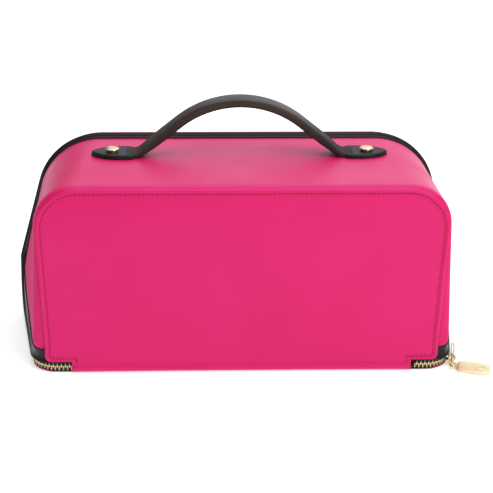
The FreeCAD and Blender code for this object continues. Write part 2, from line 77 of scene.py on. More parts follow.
class Field:
    """A node socket on which Python arithmetic adds Math nodes."""

    def __init__(self, shade: "Shade", socket: bpy.types.NodeSocket) -> None:
        """Wraps a socket.

        Args:
            shade: The material being built.
            socket: The output that this field reads.
        """
        self.shade = shade
        self.socket = socket

    def _math(self, operation: str, *values: Socket, clamp: bool = False) -> "Field":
        """Adds one Math node and returns its result."""
        inputs = dict(enumerate(values))
        return self.shade.add("ShaderNodeMath", {"operation": operation, "use_clamp": clamp}, inputs)

    def __add__(self, other: Socket) -> "Field":
        """Sum."""
        return self._math("ADD", self, other)

    def __mul__(self, other: Socket) -> "Field":
        """Product."""
        return self._math("MULTIPLY", self, other)

    def __sub__(self, other: Socket) -> "Field":
        """Difference."""
        return self._math("SUBTRACT", self, other)

    def __rsub__(self, other: Socket) -> "Field":
        """Difference from a number."""
        return self._math("SUBTRACT", other, self)

    __radd__ = __add__
    __rmul__ = __mul__

    def power(self, exponent: float) -> "Field":
        """This field raised to a power."""
        return self._math("POWER", self, exponent)

    def sine(self) -> "Field":
        """Sine of this field."""
        return self._math("SINE", self)

    def size(self) -> "Field":
        """This field without its sign."""
        return self._math("ABSOLUTE", self)

    def over(self, low: float, high: float) -> "Field":
        """0 at low, 1 at high, straight between and level beyond."""
        span = high - low
        return self._math("MULTIPLY_ADD", self, 1 / span, -low / span, clamp=True)


class Shade:
    """One material's node tree, with a single method that adds any node."""

    def __init__(self, name: str) -> None:
        """Starts a material that has only its Principled shader."""
        self.material = bpy.data.materials.new(name)
        self.material.use_nodes = True
        self.nodes = self.material.node_tree.nodes
        self.links = self.material.node_tree.links
        self.shader = self.nodes["Principled BSDF"]

    def add(
        self, kind: str, settings: dict | None = None, inputs: dict | None = None, output: int | str = 0
    ) -> Field:
        """Adds a node.

        Args:
            kind: The node's type name.
            settings: Attributes set before its sockets.
            inputs: Socket name or number to value, link or field.
            output: The output to return.

        Returns:
            The chosen output as a field.
        """
        node = self.nodes.new(kind)
        for key, value in (settings or {}).items():
            setattr(node, key, value)
        for key, value in (inputs or {}).items():
            self.feed(node.inputs[key], value)
        return Field(self, node.outputs[output])

    def feed(self, socket: bpy.types.NodeSocket, value: Socket) -> None:
        """Links a field to a socket, or sets the socket's own value."""
        if isinstance(value, Field):
            self.links.new(value.socket, socket)
        else:
            socket.default_value = value

    def place(self) -> Field:
        """Object coordinates, in metres."""
        return self.add("ShaderNodeTexCoord", output="Object")

    def along(self, axis: int) -> Field:
        """Object coordinate along an axis, 0 to 2."""
        return self.add("ShaderNodeSeparateXYZ", inputs={0: self.place()}, output=axis)

    def grain(self, scale: float, detail: float = 2.0, stretch: tuple | None = None) -> Field:
        """Noise on object coordinates, 0 to 1."""
        where = self.place()
        if stretch:
            where = self.add("ShaderNodeMapping", inputs={"Vector": where, "Scale": stretch})
        return self.add("ShaderNodeTexNoise", inputs={"Vector": where, "Scale": scale, "Detail": detail})

    def mix(self, mask: Field, first: tuple, second: tuple) -> Field:
        """Blends two colours by a mask."""
        settings = {"data_type": "RGBA"}
        return self.add("ShaderNodeMix", settings, {0: mask, 6: (*first, 1), 7: (*second, 1)}, output=2)

    def bump(self, height: Field, depth: float, strength: float = 1.0) -> None:
        """Feeds the shader's normal from a height field."""
        inputs = {"Height": height, "Distance": depth, "Strength": strength}
        self.feed(self.shader.inputs["Normal"], self.add("ShaderNodeBump", inputs=inputs))

    def set(self, **values: Socket) -> None:
        """Feeds the shader's sockets, named with underscores for spaces."""
        for key, value in values.items():
            self.feed(self.shader.inputs[key.replace("_", " ")], value)


# ---------------------------------------------------------------- finishes


@dataclass(frozen=True)
class Leather:
    """Coated leather: pebbled grain, faint cloudiness in colour and gloss.

    gloss is the roughness where the leather shines most and least. polish is an axis with the distances
    along it, to either side, where the polish is gone and where it is full.
    """

    name: str
    light: tuple
    dark: tuple
    gloss: tuple = (0.38, 0.50)
    pebble: float = 1500.0
    depth: float = 0.00004
    specular: float = 0.45
    tint: tuple = (1.0, 1.0, 1.0)
    polish: tuple = (2, -1.0, 0.0)
    creases: float = 1.9
    cloud: float = 22.0
    patches: float = 7.0
    worn_rough: float = 0.35

    def make(self) -> bpy.types.Material:
        """Builds the material."""
        shade = Shade(self.name)
        cells = shade.add(
            "ShaderNodeTexVoronoi",
            {"feature": "SMOOTH_F1"},
            {"Vector": shade.place(), "Scale": self.pebble, "Smoothness": 0.6},
        )
        fine = shade.grain(self.pebble * self.creases, detail=3.0)
        cloud = shade.grain(self.cloud, detail=3.0)
        broad = shade.grain(self.patches, detail=1.0)
        height = cells * -0.7 + fine * 0.5
        tone = cloud * 0.6 + broad * 0.4 + cells * 0.25
        shiny, matt = self.gloss
        rough = cloud.over(0.3, 0.7) * (matt - shiny) + shiny + fine * 0.05
        axis, dull, full = self.polish
        worn = 1 - shade.along(axis).size().over(dull, full)
        shade.set(
            Base_Color=shade.mix(tone.over(0.35, 0.85), self.light, self.dark),
            Roughness=rough + worn * self.worn_rough,
            Specular_IOR_Level=self.specular,
            Specular_Tint=(*self.tint, 1),
        )
        shade.bump(height, self.depth)
        return shade.material


@dataclass(frozen=True)
class Metal:
    """Plated metal with faint handling marks."""

    name: str
    light: tuple
    dark: tuple
    gloss: tuple = (0.14, 0.30)
    marks: float = 900.0
    cloud: float = 160.0
    depth: float = 0.00001

    def make(self) -> bpy.types.Material:
        """Builds the material."""
        shade = Shade(self.name)
        marks = shade.grain(self.marks, detail=4.0, stretch=(1.0, 1.0, 0.15))
        cloud = shade.grain(self.cloud, detail=2.0)
        shiny, matt = self.gloss
        shade.set(
            Base_Color=shade.mix(cloud.over(0.3, 0.75), self.light, self.dark),
            Metallic=1.0,
            Roughness=marks.over(0.3, 0.8) * (matt - shiny) + shiny,
        )
        shade.bump(marks * 0.5 + cloud * 0.5, self.depth)
        return shade.material


class Weave(Enum):
    """How a cloth's threads cross."""

    PLAIN = "plain"
    HERRINGBONE = "herringbone"
    RIBBED = "ribbed"


@dataclass(frozen=True)
class Cloth:
    """Woven cloth on object coordinates."""

    name: str
    light: tuple
    dark: tuple
    weave: Weave = Weave.PLAIN
    thread: float = 0.0006
    rough: float = 0.85
    wander: float = 300.0
    depth: float = 0.0001

    def make(self) -> bpy.types.Material:
        """Builds the material."""
        shade = Shade(self.name)
        x, y, z = (shade.along(axis) for axis in range(3))
        turn = 2 * math.pi / self.thread
        if self.weave is Weave.HERRINGBONE:
            ridges = ((x + y + z) * turn).sine()
        else:
            ridges = ((y + z) * turn).sine()
        if self.weave is Weave.PLAIN:
            ridges = (x * turn).sine() * ridges
        height = ridges * 0.5 + 0.5
        wander = shade.grain(self.wander, detail=3.0)
        shade.set(
            Base_Color=shade.mix(height * 0.6 + wander * 0.4, self.dark, self.light),
            Roughness=self.rough - wander * 0.12,
            Specular_IOR_Level=0.25,
            Sheen_Weight=0.15,
        )
        shade.bump(height * 0.8 + wander * 0.4, self.depth, strength=0.7)
        return shade.material


@dataclass(frozen=True)
class Thread:
    """Twisted sewing thread."""

    name: str
    light: tuple
    dark: tuple
    strands: float = 2600.0
    depth: float = 0.00005

    def make(self) -> bpy.types.Material:
        """Builds the material."""
        shade = Shade(self.name)
        twist = shade.grain(self.strands, detail=1.0, stretch=(1.0, 1.0, 0.35))
        shade.set(Base_Color=shade.mix(twist, self.dark, self.light), Roughness=0.55 + twist * 0.2)
        shade.bump(twist, self.depth)
        return shade.material


Finish = Leather | Metal | Cloth | Thread
PINK = Leather(
    "pink_leather", (0.680, 0.008, 0.120), (0.620, 0.006, 0.098), (0.36, 0.46), specular=0.50,
    tint=(0.25, 0.45, 1.0), polish=(0, 0.128, 0.119),
)
BLACK = Leather(
    "black_leather", (0.015, 0.013, 0.012), (0.008, 0.007, 0.006), (0.34, 0.48),
    pebble=1100.0, depth=0.00007, specular=0.18,
)
STRAP = Leather(
    "strap_leather", (0.030, 0.026, 0.022), (0.016, 0.013, 0.011), (0.34, 0.46),
    pebble=1100.0, depth=0.00007, specular=0.38, tint=(1.0, 0.88, 0.68), polish=(2, 0.128, 0.150),
)
GOLD = Metal("gold_metal", (0.76, 0.63, 0.38), (0.64, 0.50, 0.26), (0.20, 0.36))
SATIN = Metal("satin_gold", (0.72, 0.69, 0.42), (0.62, 0.57, 0.31), (0.32, 0.44))
TAPE = Cloth("zip_tape", (0.016, 0.015, 0.015), (0.004, 0.004, 0.004), Weave.HERRINGBONE, thread=0.0008)
LINING = Cloth("lining_cloth", (0.52, 0.36, 0.37), (0.38, 0.24, 0.25), Weave.PLAIN, thread=0.0007)
ELASTIC = Cloth("elastic", (0.030, 0.028, 0.028), (0.008, 0.008, 0.008), Weave.RIBBED, thread=0.0011)
BOARD = Cloth("board", (0.42, 0.38, 0.33), (0.33, 0.29, 0.25), Weave.PLAIN, thread=0.0016)
PINK_THREAD = Thread("pink_thread", (0.520, 0.004, 0.055), (0.300, 0.002, 0.028))
BLACK_THREAD = Thread("black_thread", (0.045, 0.042, 0.040), (0.015, 0.014, 0.013))
MADE: dict[str, bpy.types.Material] = {}


def dressed(finish: Finish) -> bpy.types.Material:
    """Returns a finish's material, made once."""
    if finish.name not in MADE:
        MADE[finish.name] = finish.make()
    return MADE[finish.name]


# ---------------------------------------------------------------- mesh helpers


def chain(
    mesh: bmesh.types.BMesh, points: Sequence[Vector], closed: bool = False
) -> list[bmesh.types.BMEdge]:
    """Adds a row of edges through points.

    Args:
        mesh: The mesh to add to.
        points: The places to join.
        closed: Whether the last joins the first.

    Returns:
        The row's edges in order.
    """
    verts = [mesh.verts.new(point) for point in points]
    pairs = list(zip(verts, verts[1:]))
    if closed:
        pairs.append((verts[-1], verts[0]))
    return [mesh.edges.new(pair) for pair in pairs]


def loft(mesh: bmesh.types.BMesh, rows: Sequence[Sequence[Vector]], closed: bool = False) -> None:
    """Extrudes the first row through all the others, which have as many points."""
    edges = chain(mesh, rows[0], closed)
    verts = [edge.verts[0] for edge in edges]
    if not closed:
        verts.append(edges[-1].verts[1])
    for row in rows[1:]:
        made = bmesh.ops.extrude_edge_only(mesh, edges=edges)["geom"]
        fresh = [item for item in made if isinstance(item, bmesh.types.BMVert)]
        twin = {}
        for vert in fresh:
            for edge in vert.link_edges:
                other = edge.other_vert(vert)
                if other in verts:
                    twin[other] = vert
        verts = [twin[vert] for vert in verts]
        for vert, point in zip(verts, row):
            vert.co = point
        edges = [mesh.edges.get((a, b)) for a, b in zip(verts, verts[1:])]
        if closed:
            edges.append(mesh.edges.get((verts[-1], verts[0])))


def caps(mesh: bmesh.types.BMesh) -> None:
    """Closes every open end with a face."""
    rims = [edge for edge in mesh.edges if edge.is_boundary]
    bmesh.ops.holes_fill(mesh, edges=rims, sides=0)


def tidy(mesh: bmesh.types.BMesh, merge: float = 1e-6) -> None:
    """Merges doubles and turns the faces outwards."""
    bmesh.ops.remove_doubles(mesh, verts=mesh.verts, dist=merge)
    bmesh.ops.recalc_face_normals(mesh, faces=mesh.faces)


def soften(mesh: bmesh.types.BMesh, edges: Iterable, size: float, segments: int = 2) -> None:
    """Bevels edges."""
    bmesh.ops.bevel(
        mesh,
        geom=list(edges),
        offset=size,
        offset_type="OFFSET",
        affect="EDGES",
        segments=segments,
        profile=0.5,
        material=-1,
        clamp_overlap=True,
    )


def sharp(mesh: bmesh.types.BMesh, degrees: float = 30.0) -> list[bmesh.types.BMEdge]:
    """Edges whose faces meet at more than an angle."""
    limit = math.radians(degrees)
    return [e for e in mesh.edges if len(e.link_faces) == 2 and e.calc_face_angle(0.0) > limit]


def piece(name: str, mesh: bmesh.types.BMesh, finish: Finish) -> bpy.types.Object:
    """Turns a mesh into a smooth-shaded object at the origin.

    Args:
        name: The piece's name.
        mesh: Its geometry, which is freed.
        finish: What it is made of.

    Returns:
        The object.
    """
    data = bpy.data.meshes.new(name)
    mesh.to_mesh(data)
    mesh.free()
    thing = bpy.data.objects.new(name, data)
    bpy.context.scene.collection.objects.link(thing)
    data.materials.append(dressed(finish))
    smooth(data)
    LOG.info("%s: %d faces", name, len(data.polygons))
    return thing


def smooth(data: bpy.types.Mesh, degrees: float = 38.0) -> None:
    """Shades faces smooth, apart from across sharp edges."""
    data.shade_smooth()
    data.set_sharp_from_angle(angle=math.radians(degrees))


def repeat(mesh: bmesh.types.BMesh, pattern: bmesh.types.BMesh, places: Iterable[Matrix]) -> None:
    """Adds one copy of a pattern at each place."""
    source = bpy.data.meshes.new("pattern")
    pattern.to_mesh(source)
    pattern.free()
    for place in places:
        start = len(mesh.verts)
        mesh.from_mesh(source)
        mesh.verts.ensure_lookup_table()
        bmesh.ops.transform(mesh, matrix=place, verts=mesh.verts[start:])
    bpy.data.meshes.remove(source)


def add(mesh: bmesh.types.BMesh, part: bmesh.types.BMesh) -> None:
    """Adds a part to a mesh, as it lies."""
    repeat(mesh, part, [Matrix.Identity(4)])


def extruded(mesh: bmesh.types.BMesh, way: tuple) -> None:
    """Makes a solid of the mesh's one face, and turns the faces outwards."""
    made = bmesh.ops.extrude_face_region(mesh, geom=mesh.faces[:], use_keep_orig=True)["geom"]
    moved = [item for item in made if isinstance(item, bmesh.types.BMVert)]
    bmesh.ops.translate(mesh, verts=moved, vec=way)
    bmesh.ops.recalc_face_normals(mesh, faces=mesh.faces)


def stepped(mesh: bmesh.types.BMesh, face: bmesh.types.BMFace, steps: Iterable[tuple[float, float]]) -> None:
    """Insets a face once for each step, a width and a rise in millimetres."""
    for width, rise in steps:
        bmesh.ops.inset_region(
            mesh, faces=[face], thickness=width * MM, depth=rise * MM,
            use_even_offset=True, use_boundary=True,
        )


def thicken(thing: bpy.types.Object, depth: float) -> None:
    """Gives an open skin its thickness inwards, with a Solidify modifier."""
    extra = thing.modifiers.new("thickness", "SOLIDIFY")
    extra.thickness = depth
    extra.offset = -1.0


def basis(point: Vector, ahead: Vector, out: Vector) -> Matrix:
    """A place whose X runs ahead, Y to the left and Z outwards."""
    ahead = ahead.normalized()
    side = out.cross(ahead).normalized()
    up = ahead.cross(side)
    return Matrix.Translation(point) @ Matrix((ahead, side, up)).transposed().to_4x4()


# ---------------------------------------------------------------- the case's form


@dataclass(frozen=True)
class Station:
    """The case's outline at one depth: sides that bend at the knee, rounded top corners."""

    y: float
    half_zip: float
    half_low: float
    knee: float
    half_top: float
    top: float
    radius: float


@dataclass(frozen=True)
class Outline:
    """A station's right side worked out: where the slanted wall ends and the corner's arc lies."""

    station: Station

    def corner(self) -> tuple[Vector, Vector, Vector, float]:
        """Returns the arc's start, centre, the slant's direction and the corner's reach."""
        s = self.station
        slant = Vector((s.half_top - s.half_low, s.top - s.knee)).normalized()
        reach = s.radius * math.tan(math.acos(-slant.x) / 2)
        start = Vector((s.half_top, s.top)) - slant * reach
        centre = Vector((s.half_top - reach, s.top - s.radius))
        return start, centre, slant, reach

    def at(self, u: float) -> Vector:
        """Point (x, z) at u: 0 foot, 1 arc start, 2 arc end, 3 middle of the top, 6 the left foot."""
        if u > 3:
            mirrored = self.at(6 - u)
            return Vector((-mirrored.x, mirrored.y))
        s = self.station
        start, centre, slant, reach = self.corner()
        if u <= 1:
            z = start.y * u
            if z < s.knee:
                below = (s.knee - z) / (s.knee - ZIP_Z)
                return Vector((s.half_low + (s.half_zip - s.half_low) * below, z))
            return Vector((s.half_low + (z - s.knee) * slant.x / slant.y, z))
        if u <= 2:
            first = math.atan2(-slant.x, slant.y)
            turn = first + (QUARTER - first) * (u - 1)
            return centre + Vector((math.cos(turn), math.sin(turn))) * s.radius
        return Vector(((s.half_top - reach) * (3 - u), s.top))


@dataclass(frozen=True)
class CaseForm:
    """The closed case's outer surface as a function of depth y and outline position u.

    corner_depth is how far back the lower front corners are rounded, and step and u_step are how far
    apart the points lie that give a normal.
    """

    front: Station = Station(-0.055, 0.1130, 0.1210, 0.020, 0.1246, 0.1175, 0.024)
    shoulder: Station = Station(-0.050, 0.1269, 0.1275, 0.020, 0.1256, 0.1195, 0.026)
    back: Station = Station(0.053, 0.1390, 0.1390, 0.038, 0.1170, 0.1195, 0.040)
    corner_depth: float = 0.0130
    step: float = 0.0001
    u_step: float = 0.004

    def station(self, y: float) -> Station:
        """Outline at a depth: a quarter round from front to shoulder, then straight to the back."""
        y = max(y, self.front.y)
        straight = min(1.0, (y - self.shoulder.y) / (self.back.y - self.shoulder.y))
        wall = self.between(self.shoulder, self.back, straight)
        ridge = min(1.0, (y - self.front.y) / (self.shoulder.y - self.front.y))
        corner = min(1.0, (y - self.front.y) / self.corner_depth)
        upper = self.between(self.front, wall, self.quarter(ridge)) if ridge < 1 else wall
        half_zip = self.front.half_zip + (wall.half_zip - self.front.half_zip) * self.quarter(corner)
        return replace(upper, y=y, half_zip=half_zip)

    @staticmethod
    def quarter(t: float) -> float:
        """Height of a quarter round at a share of its length."""
        return math.sqrt(max(0.0, 1 - (1 - t) ** 2))

    @staticmethod
    def between(a: Station, b: Station, share: float) -> Station:
        """A station between two others."""
        return Station(*(first + (last - first) * share for first, last in zip(astuple(a), astuple(b))))

    def point(self, y: float, u: float) -> Vector:
        """Point on the outer surface."""
        flat = Outline(self.station(y)).at(u)
        return Vector((flat.x, y, flat.y))

    def side_u(self, y: float, z: float) -> float:
        """Outline position of a height on the side wall."""
        return z / Outline(self.station(y)).corner()[0].y

    def normal(self, y: float, u: float) -> Vector:
        """Outward direction of the surface."""
        y = max(y, self.front.y + 2 * self.step)
        along = self.point(y + self.step, u) - self.point(y - self.step, u)
        up = self.point(y, u + self.u_step) - self.point(y, u - self.u_step)
        return along.cross(up).normalized()


@dataclass(frozen=True)
class Mark:
    """A place on a seam: a point and the way out of the case."""

    point: Vector
    out: Vector


def both_sides(right: Sequence[Mark]) -> list[Mark]:
    """The right half's marks, up to the middle of the top, and their mirror images back down the left."""
    flip = Matrix.Scale(-1, 3, Vector((1, 0, 0)))
    return [*right, *(Mark(flip @ mark.point, flip @ mark.out) for mark in reversed(right[:-1]))]


def placed(marks: Sequence[Mark]) -> list[Matrix]:
    """A place at each mark, with X towards the next one."""
    beyond = Mark(marks[-1].point * 2 - marks[-2].point, marks[-1].out)
    ahead = [*marks[1:], beyond]
    return [basis(mark.point, after.point - mark.point, mark.out) for mark, after in zip(marks, ahead)]


class Stage(IntEnum):
    """The stretches of a seam, from the front end of the right half to the middle of the top."""

    FRONT = 0
    FLOOR = 1
    BEND = 2
    UPRIGHT = 3
    CORNER = 4
    TOP = 5


@dataclass(frozen=True)
class Seam:
    """A line round the case: across the front corner, along the floor, round the bend, up and over the top.

    foot is its height at the front, (bend_y, bend_z) where the bend starts, (back_y, back_z) where it ends.
    counts holds each stage's count of steps, and cheek the floor stage's share in the front corner.
    """

    form: CaseForm
    foot: float
    bend_y: float
    bend_z: float
    back_y: float
    back_z: float
    end_x: float = 0.104
    cheek: float = 0.30
    counts: tuple = (8, 44, 22, 18, 18, 22)

    def place(self, stage: Stage, t: float) -> tuple[float, float]:
        """The depth y and outline position u of a mark, read back from its point as far as the bend's end."""
        y, u = self.course(stage, t)
        if stage > Stage.BEND:
            return y, u
        point = self.form.point(y, u)
        return point.y, self.form.side_u(point.y, point.z)

    def course(self, stage: Stage, t: float) -> tuple[float, float]:
        """The depth y and outline position u at a share t of a stage from the floor on."""
        form = self.form
        if stage > Stage.UPRIGHT:
            return self.back_y, stage - Stage.UPRIGHT + t
        if stage == Stage.UPRIGHT:
            low = form.side_u(self.back_y, self.back_z)
            return self.back_y, low + (1 - low) * t
        if stage == Stage.BEND:
            turn = t * QUARTER
            y = self.bend_y + (self.back_y - self.bend_y) * math.sin(turn)
            z = self.back_z - (self.back_z - self.bend_z) * math.cos(turn)
        else:
            y = self.floor_y(t)
            z = self.foot + (self.bend_z - self.foot) * (y - form.front.y) / (self.bend_y - form.front.y)
        return y, form.side_u(y, z)

    def floor_y(self, t: float) -> float:
        """Depth at a share t of the floor stage, whose first part, the cheek, rounds the front corner."""
        front = self.form.front.y
        depth = self.form.corner_depth
        if t < self.cheek:
            return front + depth * (1 - math.cos(t / self.cheek * QUARTER))
        return front + depth + (self.bend_y - front - depth) * (t - self.cheek) / (1 - self.cheek)

    def mark(self, stage: Stage, t: float) -> Mark:
        """Mark at a share t of a stage."""
        form = self.form
        if stage > Stage.FRONT:
            y, u = self.course(stage, t)
            return Mark(form.point(y, u), form.normal(y, u))
        y = form.front.y
        side = form.point(y, form.side_u(y, self.foot)).x
        return Mark(Vector((self.end_x + (side - self.end_x) * t, y, self.foot)), Vector((0, -1, 0)))

    def steps(self, first: Stage = Stage.FRONT) -> list[tuple[Stage, float]]:
        """The right half's stages and shares in order, from a stage on."""
        made = []
        for stage in list(Stage)[first:]:
            count = self.counts[stage]
            made += [(stage, index / count) for index in range(count)]
        return [*made, (Stage.TOP, 1.0)]

    def marks(self, first: Stage = Stage.FRONT) -> list[Mark]:
        """Marks from the right front end over the top to the left front end, from a stage on."""
        return both_sides([self.mark(stage, t) for stage, t in self.steps(first)])


def spaced(marks: Sequence[Mark], pitch: float, shift: float = 0.0) -> list[Matrix]:
    """Places at an even pitch along marks: X ahead, Y to the left of the way ahead, Z outwards.

    Args:
        marks: The line to follow.
        pitch: Distance between places.
        shift: Distance of the first place from the start.

    Returns:
        One matrix for each place.
    """
    made = []
    due = shift
    gone = 0.0
    for a, b in zip(marks, marks[1:]):
        length = (b.point - a.point).length
        while length > 0 and due <= gone + length:
            share = (due - gone) / length
            point = a.point.lerp(b.point, share)
            made.append(basis(point, b.point - a.point, a.out.lerp(b.out, share).normalized()))
            due += pitch
        gone += length
    return made


def sweep(mesh: bmesh.types.BMesh, places: Sequence[Matrix], section: Sequence[tuple[float, float]]) -> None:
    """Lofts a closed section, given as (side, out) offsets, through places."""
    loft(mesh, [[place @ Vector((0, a, b)) for a, b in section] for place in places], closed=True)
    caps(mesh)
    tidy(mesh)


# ---------------------------------------------------------------- tray: gusset and strip


@dataclass
class Tray:
    """The deep front tray: pink gusset over top and sides, and the black strip along the zip.

    seam_roll and zip_roll are the strip's section at its two borders, from each border inwards, as distances
    and heights in millimetres.
    """

    form: CaseForm
    border: Seam
    edge: Seam
    rows: int = 46
    wall: float = 0.0016
    turned_in: float = 0.975
    turned_down: float = 0.003
    turned_back: float = 0.0004
    swell_mean: float = 0.0003
    swell_wave: float = 0.0005
    strip_shares: tuple = (0.35, 0.5, 0.65)
    strip_rise: float = 0.0005
    cloth: float = 0.0004
    cloth_inner_x: float = 0.1010
    cloth_behind: float = 0.0022
    cloth_short: float = 0.0026
    cloth_heights: tuple = (0.0046, 0.0085, 0.0125, 0.0165, 0.0205)
    seam_roll: tuple = ((0.0, -0.8), (0.0, 0.4), (0.15, 0.7), (0.5, 0.9), (0.85, 0.8), (1.2, 0.5))
    zip_roll: tuple = ((0.3, -0.8), (0.0, 0.2), (0.1, 0.5), (0.5, 1.5), (1.0, 2.05), (1.7, 1.75), (2.7, 0.7))

    def gusset(self) -> bpy.types.Object:
        """Builds the pink wall from the strip forward, curling in behind the front panel."""
        front_y = self.form.front.y
        columns = [self.border.place(stage, t) for stage, t in self.border.steps(Stage.FLOOR)]
        columns += [(y, 6 - u) for y, u in reversed(columns[:-1])]
        lines = []
        for row in range(self.rows + 1):
            share = math.sin(row / self.rows * QUARTER)
            line = []
            for y, u in columns:
                depth = y + (front_y - y) * share
                point = self.form.point(depth, u)
                line.append(point + self.form.normal(depth, u) * self.swell(point, y))
            lines.append(line)
        mesh = bmesh.new()
        loft(mesh, [*lines, [self.behind(point) for point in lines[-1]]])
        tidy(mesh)
        thing = piece("gusset_leather", mesh, PINK)
        thicken(thing, self.wall)
        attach(thing, "tray")
        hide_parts("gusset")
        return thing

    def behind(self, point: Vector) -> Vector:
        """Where the front edge's leather ends, turned in behind the panel."""
        full_height = 0.05
        down = self.turned_down * min(1.0, point.z / full_height)
        return Vector((point.x * self.turned_in, point.y + self.turned_back, point.z - down))

    def swell(self, point: Vector, far: float) -> float:
        """Soft unevenness of the leather, nothing at its front seam or at its rear seam, at depth far."""
        share = (point.y - self.form.front.y) / max(0.004, far - self.form.front.y)
        hold = max(0.0, 4 * share * (1 - share))
        across, along, start = 14, 18, 3
        wave = noise.noise(Vector((point.x * across, point.y * along, point.z * across + start)))
        return hold * (self.swell_mean + self.swell_wave * wave)

    def strip(self) -> bpy.types.Object:
        """Builds the black strip with a rolled edge on both sides."""
        outer = self.border.marks()
        inner = self.edge.marks()
        lines = []
        for distance, height in self.seam_roll:
            lines.append([self.across(a, b, distance * MM, height * MM) for a, b in zip(outer, inner)])
        for share in self.strip_shares:
            lines.append([self.between(a, b, share) for a, b in zip(outer, inner)])
        for distance, height in reversed(self.zip_roll):
            lines.append([self.across(b, a, distance * MM, height * MM) for a, b in zip(outer, inner)])
        mesh = bmesh.new()
        loft(mesh, lines)
        tidy(mesh)
        thing = piece("strip_leather", mesh, BLACK)
        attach(thing, "tray")
        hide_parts("tray_strip")
        return thing

    def corner_cloth(self) -> bpy.types.Object:
        """Builds the cloth that closes the lower front corners inside, one on each side."""
        columns = 8
        y = self.form.front.y + self.cloth_behind
        mesh = bmesh.new()
        for side in (-1, 1):
            rows = []
            for z in self.cloth_heights:
                end = self.form.point(y, self.form.side_u(y, z)).x - self.cloth_short
                row = []
                for share in (i / columns for i in range(columns + 1)):
                    x = self.cloth_inner_x + (end - self.cloth_inner_x) * share
                    row.append(Vector((side * x, y + self.cloth * share**4, z)))
                rows.append(row)
            part = bmesh.new()
            loft(part, rows)
            add(mesh, part)
        thing = piece("tray_corner_cloth", mesh, LINING)
        thicken(thing, self.cloth)
        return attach(thing, "tray")

    def across(self, a: Mark, b: Mark, distance: float, height: float) -> Vector:
        """A point a distance from a towards b, raised along a's way out."""
        way = b.point - a.point
        reach = min(distance, way.length * 0.5)
        return a.point + way.normalized() * reach + a.out * height

    def between(self, a: Mark, b: Mark, share: float) -> Vector:
        """A point on the strip's swelling middle, between two marks."""
        return a.point.lerp(b.point, share) + a.out.lerp(b.out, share).normalized() * self.strip_rise


# ---------------------------------------------------------------- front panel and its hinge


def pip() -> bmesh.types.BMesh:
    """One sewn stitch: a slim grain of thread, 1 long, 1 wide and 1 high."""
    mesh = bmesh.new()
    lying = Matrix.Rotation(QUARTER, 4, "Y")
    bmesh.ops.create_uvsphere(mesh, u_segments=8, v_segments=6, radius=0.5, matrix=lying)
    return mesh


@dataclass(frozen=True)
class Stitching:
    """A run of machine stitches."""

    pitch: float = 0.0027
    length: float = 0.0018
    width: float = 0.00085
    height: float = 0.00080
    slant: float = 9.0

    def sew(self, name: str, run: Sequence[Mark], thread: Thread) -> bpy.types.Object:
        """Sews along a run of marks.

        Args:
            name: The piece's name.
            run: The line to sew along.
            thread: The thread's finish.

        Returns:
            All the stitches as one object.
        """
        mesh = bmesh.new()
        shape = Matrix.Diagonal((self.length, self.width, self.height, 1))
        turn = Matrix.Rotation(math.radians(self.slant), 4, "Z")
        places = spaced(run, self.pitch, self.pitch / 2)
        repeat(mesh, pip(), [place @ turn @ shape for place in places])
        return piece(name, mesh, thread)


